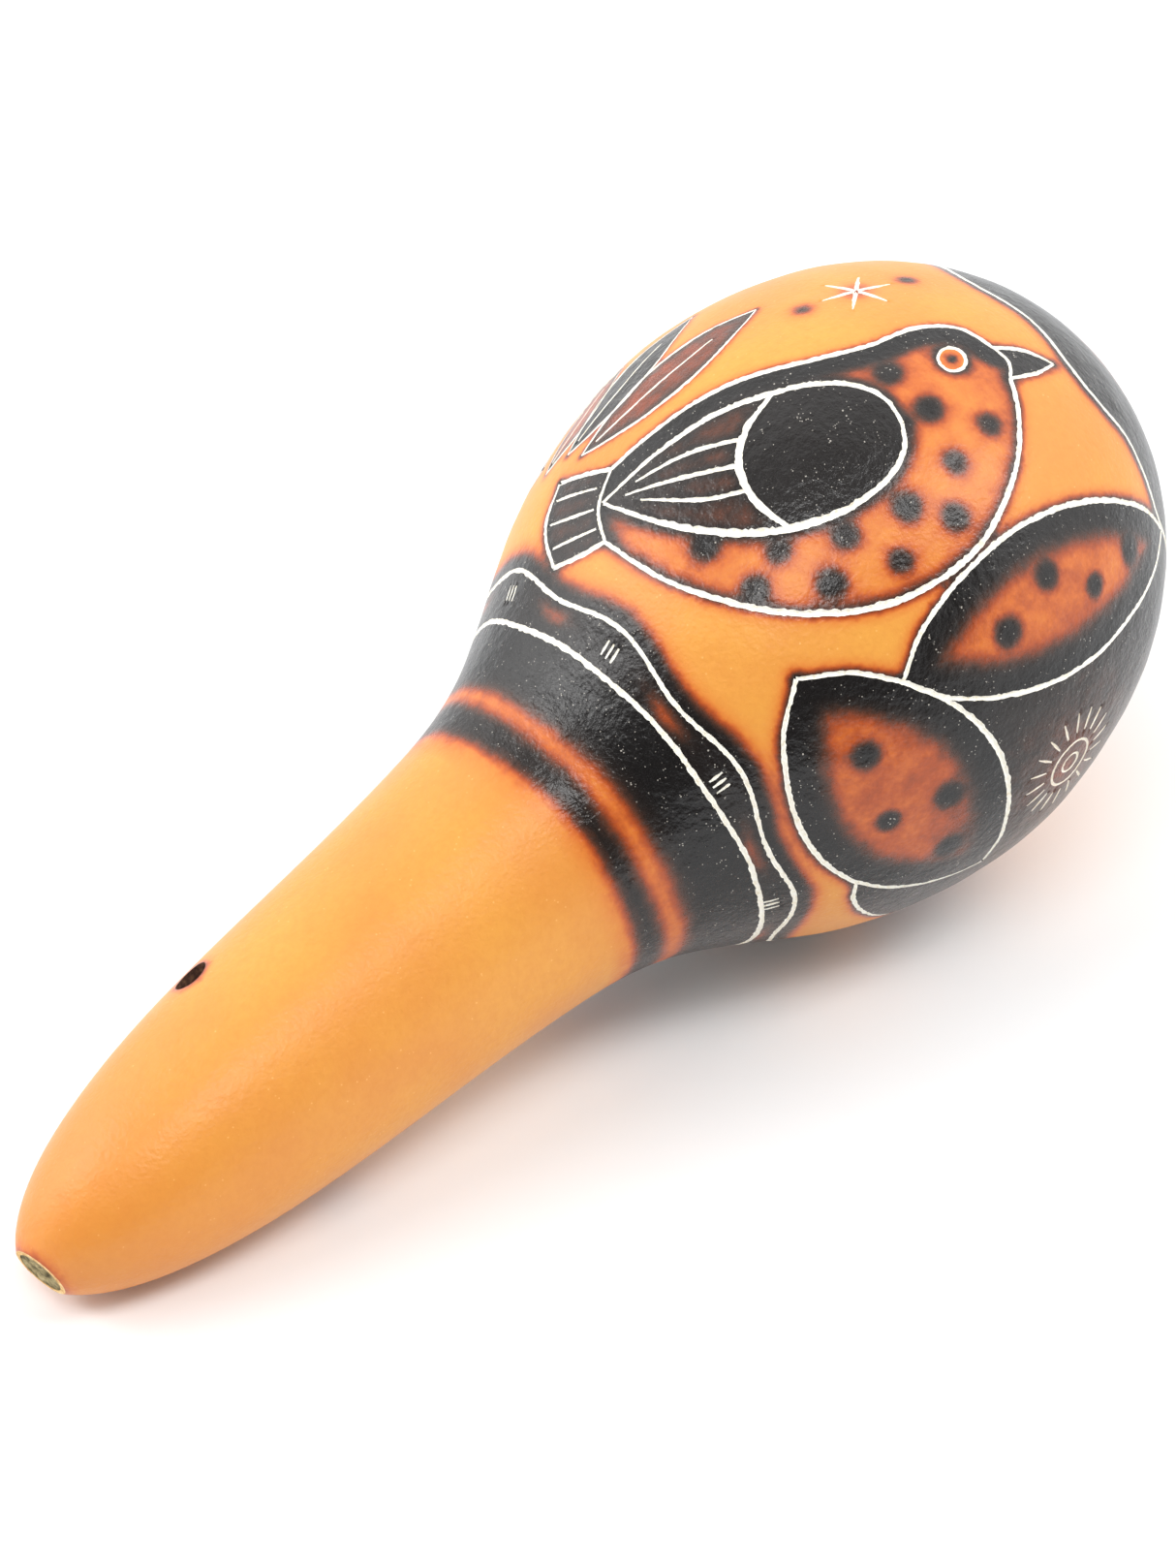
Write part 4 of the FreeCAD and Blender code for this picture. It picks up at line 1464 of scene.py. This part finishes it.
def seed_coat():
    m = Mat("seed_coat")
    a = m.noise(0.6, 3.0, 0.6)
    c = m.ramp(m.remap(a, 0.3, 0.7, kind="LINEAR"), [(0.0, lin(58, 30, 18)), (0.5, lin(104, 58, 32)), (1.0, lin(150, 96, 56))])
    hil = m.remap(m.noise(2.6, 2.0), 0.58, 0.70)
    c = m.mix(m.math("MULTIPLY", hil, 0.4), c, lin(196, 160, 116))
    m.set(Base_Color=c, Roughness=m.remap(m.noise(3.0), 0.3, 0.7, 0.38, 0.55, "LINEAR"), Specular_IOR_Level=0.45)
    m.set(Normal=m.bump(m.noise(2.4, 3.0, 0.6), 0.5, 0.00012))
    return m.mat


RIND, FLESH, PITH, SAWN, CHAR, CORE, COAT = rind(), flesh(), pith(), sawn(), charred(), stem_wood(), seed_coat()

# ---------------------------------------------------------------------------
# pieces
# ---------------------------------------------------------------------------
V_ = np.concatenate(sheet.v)
F_ = np.concatenate(sheet.f)
M_ = np.concatenate(sheet.m)
B_ = np.concatenate(sheet.b)
gourd = make("carved_gourd", V_, F_, [RIND, FLESH, PITH, SAWN, CHAR], M_, B_)
gourd_open = finish_mesh(gourd)
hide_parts("gourd_shell")
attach(gourd, "gourd")
print("gourd triangles", len(gourd.data.polygons), "open edges", gourd_open)


def wave(x, y, seed):
    return (np.sin(x * 1.9 + seed) * np.sin(y * 2.3 + seed * 1.7) + 0.5 * np.sin(x * 4.7 - y * 3.1 + seed * 0.6)
            + 0.35 * np.sin(x * 8.3 + y * 7.1 + seed))


# the dried stem core: a fibrous plug, its sawn face pitted, a shade below the rim
NA, NR = 56, 13
R0 = CORE_RADIUS - 0.02
top, idx = [], []
at_ = np.arange(NA) * 2 * math.pi / NA
for k in range(1, NR + 1):
    q = k / NR
    rr_ = R0 * q * (1 + 0.0 * at_)
    x = CORE_OFFSET_X + rr_ * np.cos(at_)
    y = rr_ * np.sin(at_)
    pit = np.exp(-((x + 1.6) ** 2 + (y - 0.9) ** 2) / 0.5) * 0.55 + np.exp(-((x + 0.1) ** 2 + (y + 1.3) ** 2) / 0.35) * 0.4
    pit = pit + np.exp(-((x + 1.9) ** 2 + (y + 1.2) ** 2) / 0.18) * 0.35
    bumps = 0.10 * wave(x * 1.3, y * 1.3, 2.0)
    z = CUT_X * x + CUT_Y * y + (0.16 + pit + bumps) * smooth((1 - q) / 0.12 + 0.15) + 0.05
    top.append(np.column_stack([x, y, z]))
x, y = CORE_OFFSET_X, 0.0
centre = np.array([[x, y, CUT_X * x + CUT_Y * y + 0.3]])
side = []
for k in range(1, 9):
    q = k / 8
    a = top[-1]
    zb = CORE_END - 0.05
    z = a[:, 2] * (1 - q) + zb * q
    wob = 1 - 0.012 * (1 + np.sin(at_ * 9 + q * 5))
    side.append(np.column_stack([CORE_OFFSET_X + (a[:, 0] - CORE_OFFSET_X) * wob, a[:, 1] * wob, z]))
base = np.array([[CORE_OFFSET_X, 0.0, CORE_END - 0.05]])
inner_ring = [np.column_stack([CORE_OFFSET_X + (side[-1][:, 0] - CORE_OFFSET_X) * w, side[-1][:, 1] * w,
                               np.full(NA, CORE_END - 0.05) - 0.25 * wave(side[-1][:, 0] * w, side[-1][:, 1] * w, 4.0) * 0.5 - 0.1])
              for w in (0.8, 0.55, 0.28)]
rings = top + side + inner_ring
v = np.vstack([centre] + rings + [base - [0, 0, 0.1]])
f = [(0, 1 + (i + 1) % NA, 1 + i) for i in range(NA)]
for k in range(len(rings) - 1):
    for i in range(NA):
        j = (i + 1) % NA
        a, b = 1 + k * NA, 1 + (k + 1) * NA
        f += [(a + i, a + j, b + i), (a + j, b + j, b + i)]
last = 1 + (len(rings) - 1) * NA
f += [(len(v) - 1, last + i, last + (i + 1) % NA) for i in range(NA)]
f = np.array(f)
mid_c = np.array([CORE_OFFSET_X, 0, 5.0])
vol = (np.cross(v[f[:, 0]] - mid_c, v[f[:, 1]] - mid_c) * (v[f[:, 2]] - mid_c)).sum()
if vol < 0:
    f = f[:, ::-1]
core = make("stem_plug", row(v), f, [CORE])
finish_mesh(core)
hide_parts("stem_core")
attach(core, "gourd")

# the seeds: one lumpy coat each, with a little flat scar where it sat
import bmesh
bm = bmesh.new()
bmesh.ops.create_icosphere(bm, subdivisions=4, radius=1.0)
ico_v = np.array([v.co[:] for v in bm.verts])
ico_f = np.array([[v.index for v in f.verts] for f in bm.faces])
bm.free()
ico_v /= np.linalg.norm(ico_v, axis=1, keepdims=True)
names = sorted(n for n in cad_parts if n.startswith("seed_"))
for k, n in enumerate(names):
    lo_, hi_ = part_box(n)
    lo_, hi_ = np.array(lo_), np.array(hi_)
    c, r = (lo_ + hi_) / 2, (hi_ - lo_).min() / 2
    rng = np.random.RandomState(100 + k)
    ax = rng.normal(size=(3, 3))
    ax /= np.linalg.norm(ax, axis=1, keepdims=True)
    u = ico_v @ ax.T
    g = 0.5 * np.sin(3.1 * u[:, 0] + k) * np.sin(2.7 * u[:, 1] + 1.1) + 0.35 * np.sin(6.3 * u[:, 2] + 2.0 * k) * np.sin(5.1 * u[:, 0])
    scar_ = smooth((u[:, 1] - 0.86) / 0.10)
    crease = 0.05 * np.exp(-((u[:, 2]) / 0.07) ** 2) * smooth((u[:, 1] + 0.2) / 0.6)
    rad = 0.995 - 0.035 * (g * 0.5 + 0.5) - 0.05 * scar_ - crease * 0.8
    ob = make("%s_coat" % n, c + ico_v * (rad * r)[:, None], ico_f, [COAT])
    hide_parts(n)
    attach(ob, n)

# ---------------------------------------------------------------------------
# floor, light, camera
# ---------------------------------------------------------------------------
me = bpy.data.meshes.new("floor")
h = 4.0
me.from_pydata([(-h, -h, 0), (h, -h, 0), (h, h, 0), (-h, h, 0)], [], [(0, 1, 2, 3)])
floor = bpy.data.objects.new("floor", me)
bpy.context.scene.collection.objects.link(floor)
fm = Mat("floor_white")
fm.set(Roughness=0.9, Specular_IOR_Level=0.1, Base_Color=(0.88, 0.895, 0.905, 1.0))
me.materials.append(fm.mat)

cam_pos = Vector((-0.364705, -0.415638, 0.562748))
world = bpy.data.worlds.new("studio")
bpy.context.scene.world = world
world.use_nodes = True
wt = world.node_tree
wt.nodes.clear()
wo = wt.nodes.new("ShaderNodeOutputWorld")
bg = wt.nodes.new("ShaderNodeBackground")
wt.links.new(bg.outputs[0], wo.inputs[0])
tc = wt.nodes.new("ShaderNodeTexCoord")
dp = wt.nodes.new("ShaderNodeVectorMath")
dp.operation = "DOT_PRODUCT"
dp.inputs[1].default_value = (-0.47823573, -0.54300978, 0.69023979)
wt.links.new(tc.outputs["Generated"], dp.inputs[0])
mr = wt.nodes.new("ShaderNodeMapRange")
mr.interpolation_type = "SMOOTHSTEP"
for k_, x_ in zip(("From Min", "From Max", "To Min", "To Max"), (0.25, 0.90, 1.5, 0.10)):
    mr.inputs[k_].default_value = x_
wt.links.new(dp.outputs["Value"], mr.inputs["Value"])
wt.links.new(mr.outputs[0], bg.inputs["Strength"])
bg.inputs["Color"].default_value = (1.0, 1.0, 1.0, 1.0)


def softbox(name, place, size, radiance, along=(1, 0, 0), aim=(0.0, 0.0, 0.03), colour=(1, 1, 1)):
    d = bpy.data.lights.new(name, "AREA")
    d.shape = "RECTANGLE"
    d.size, d.size_y = size
    d.energy = math.pi * size[0] * size[1] * radiance
    d.color = colour
    o = bpy.data.objects.new(name, d)
    z = (Vector(place) - Vector(aim)).normalized()
    x = Vector(along)
    x = (x - z * x.dot(z)).normalized()
    y = z.cross(x)
    o.matrix_world = Matrix(((x.x, y.x, z.x, place[0]), (x.y, y.y, z.y, place[1]), (x.z, y.z, z.z, place[2]), (0, 0, 0, 1)))
    bpy.context.scene.collection.objects.link(o)
    return o


softbox("key", (-0.38, -0.32, 0.97), (0.42, 0.34), 8.5, (0.30, -0.75, 0.0))
softbox("strip_left", (-0.66, 0.42, 0.72), (0.70, 0.24), 6.0, (0.25, 0.75, -0.2))
softbox("strip_front", (0.42, -0.50, 0.88), (0.80, 0.26), 6.5, (0.85, -0.10, -0.35))
softbox("back_left", (-0.7, 1.1, 0.5), (0.9, 0.6), 1.4)


cam = bpy.data.cameras.new("camera")
cam.sensor_width = 36.0
cam.sensor_fit = "HORIZONTAL"
cam.lens = 36.0 * 6000.0 / 1214.0
cam.clip_start, cam.clip_end = 0.05, 20.0
camera = bpy.data.objects.new("camera", cam)
bpy.context.scene.collection.objects.link(camera)
camera.matrix_world = Matrix(((0.75044812, 0.45619974, -0.47823573, cam_pos.x),
                              (-0.66092936, 0.51798915, -0.54300978, cam_pos.y),
                              (0.0, 0.7235807, 0.69023979, cam_pos.z),
                              (0, 0, 0, 1)))
bpy.context.scene.camera = camera
bpy.context.scene.view_settings.view_transform = "Standard"
bpy.context.scene.view_settings.look = "None"
bpy.context.scene.view_settings.exposure = 0.0
bpy.context.scene.view_settings.gamma = 1.0
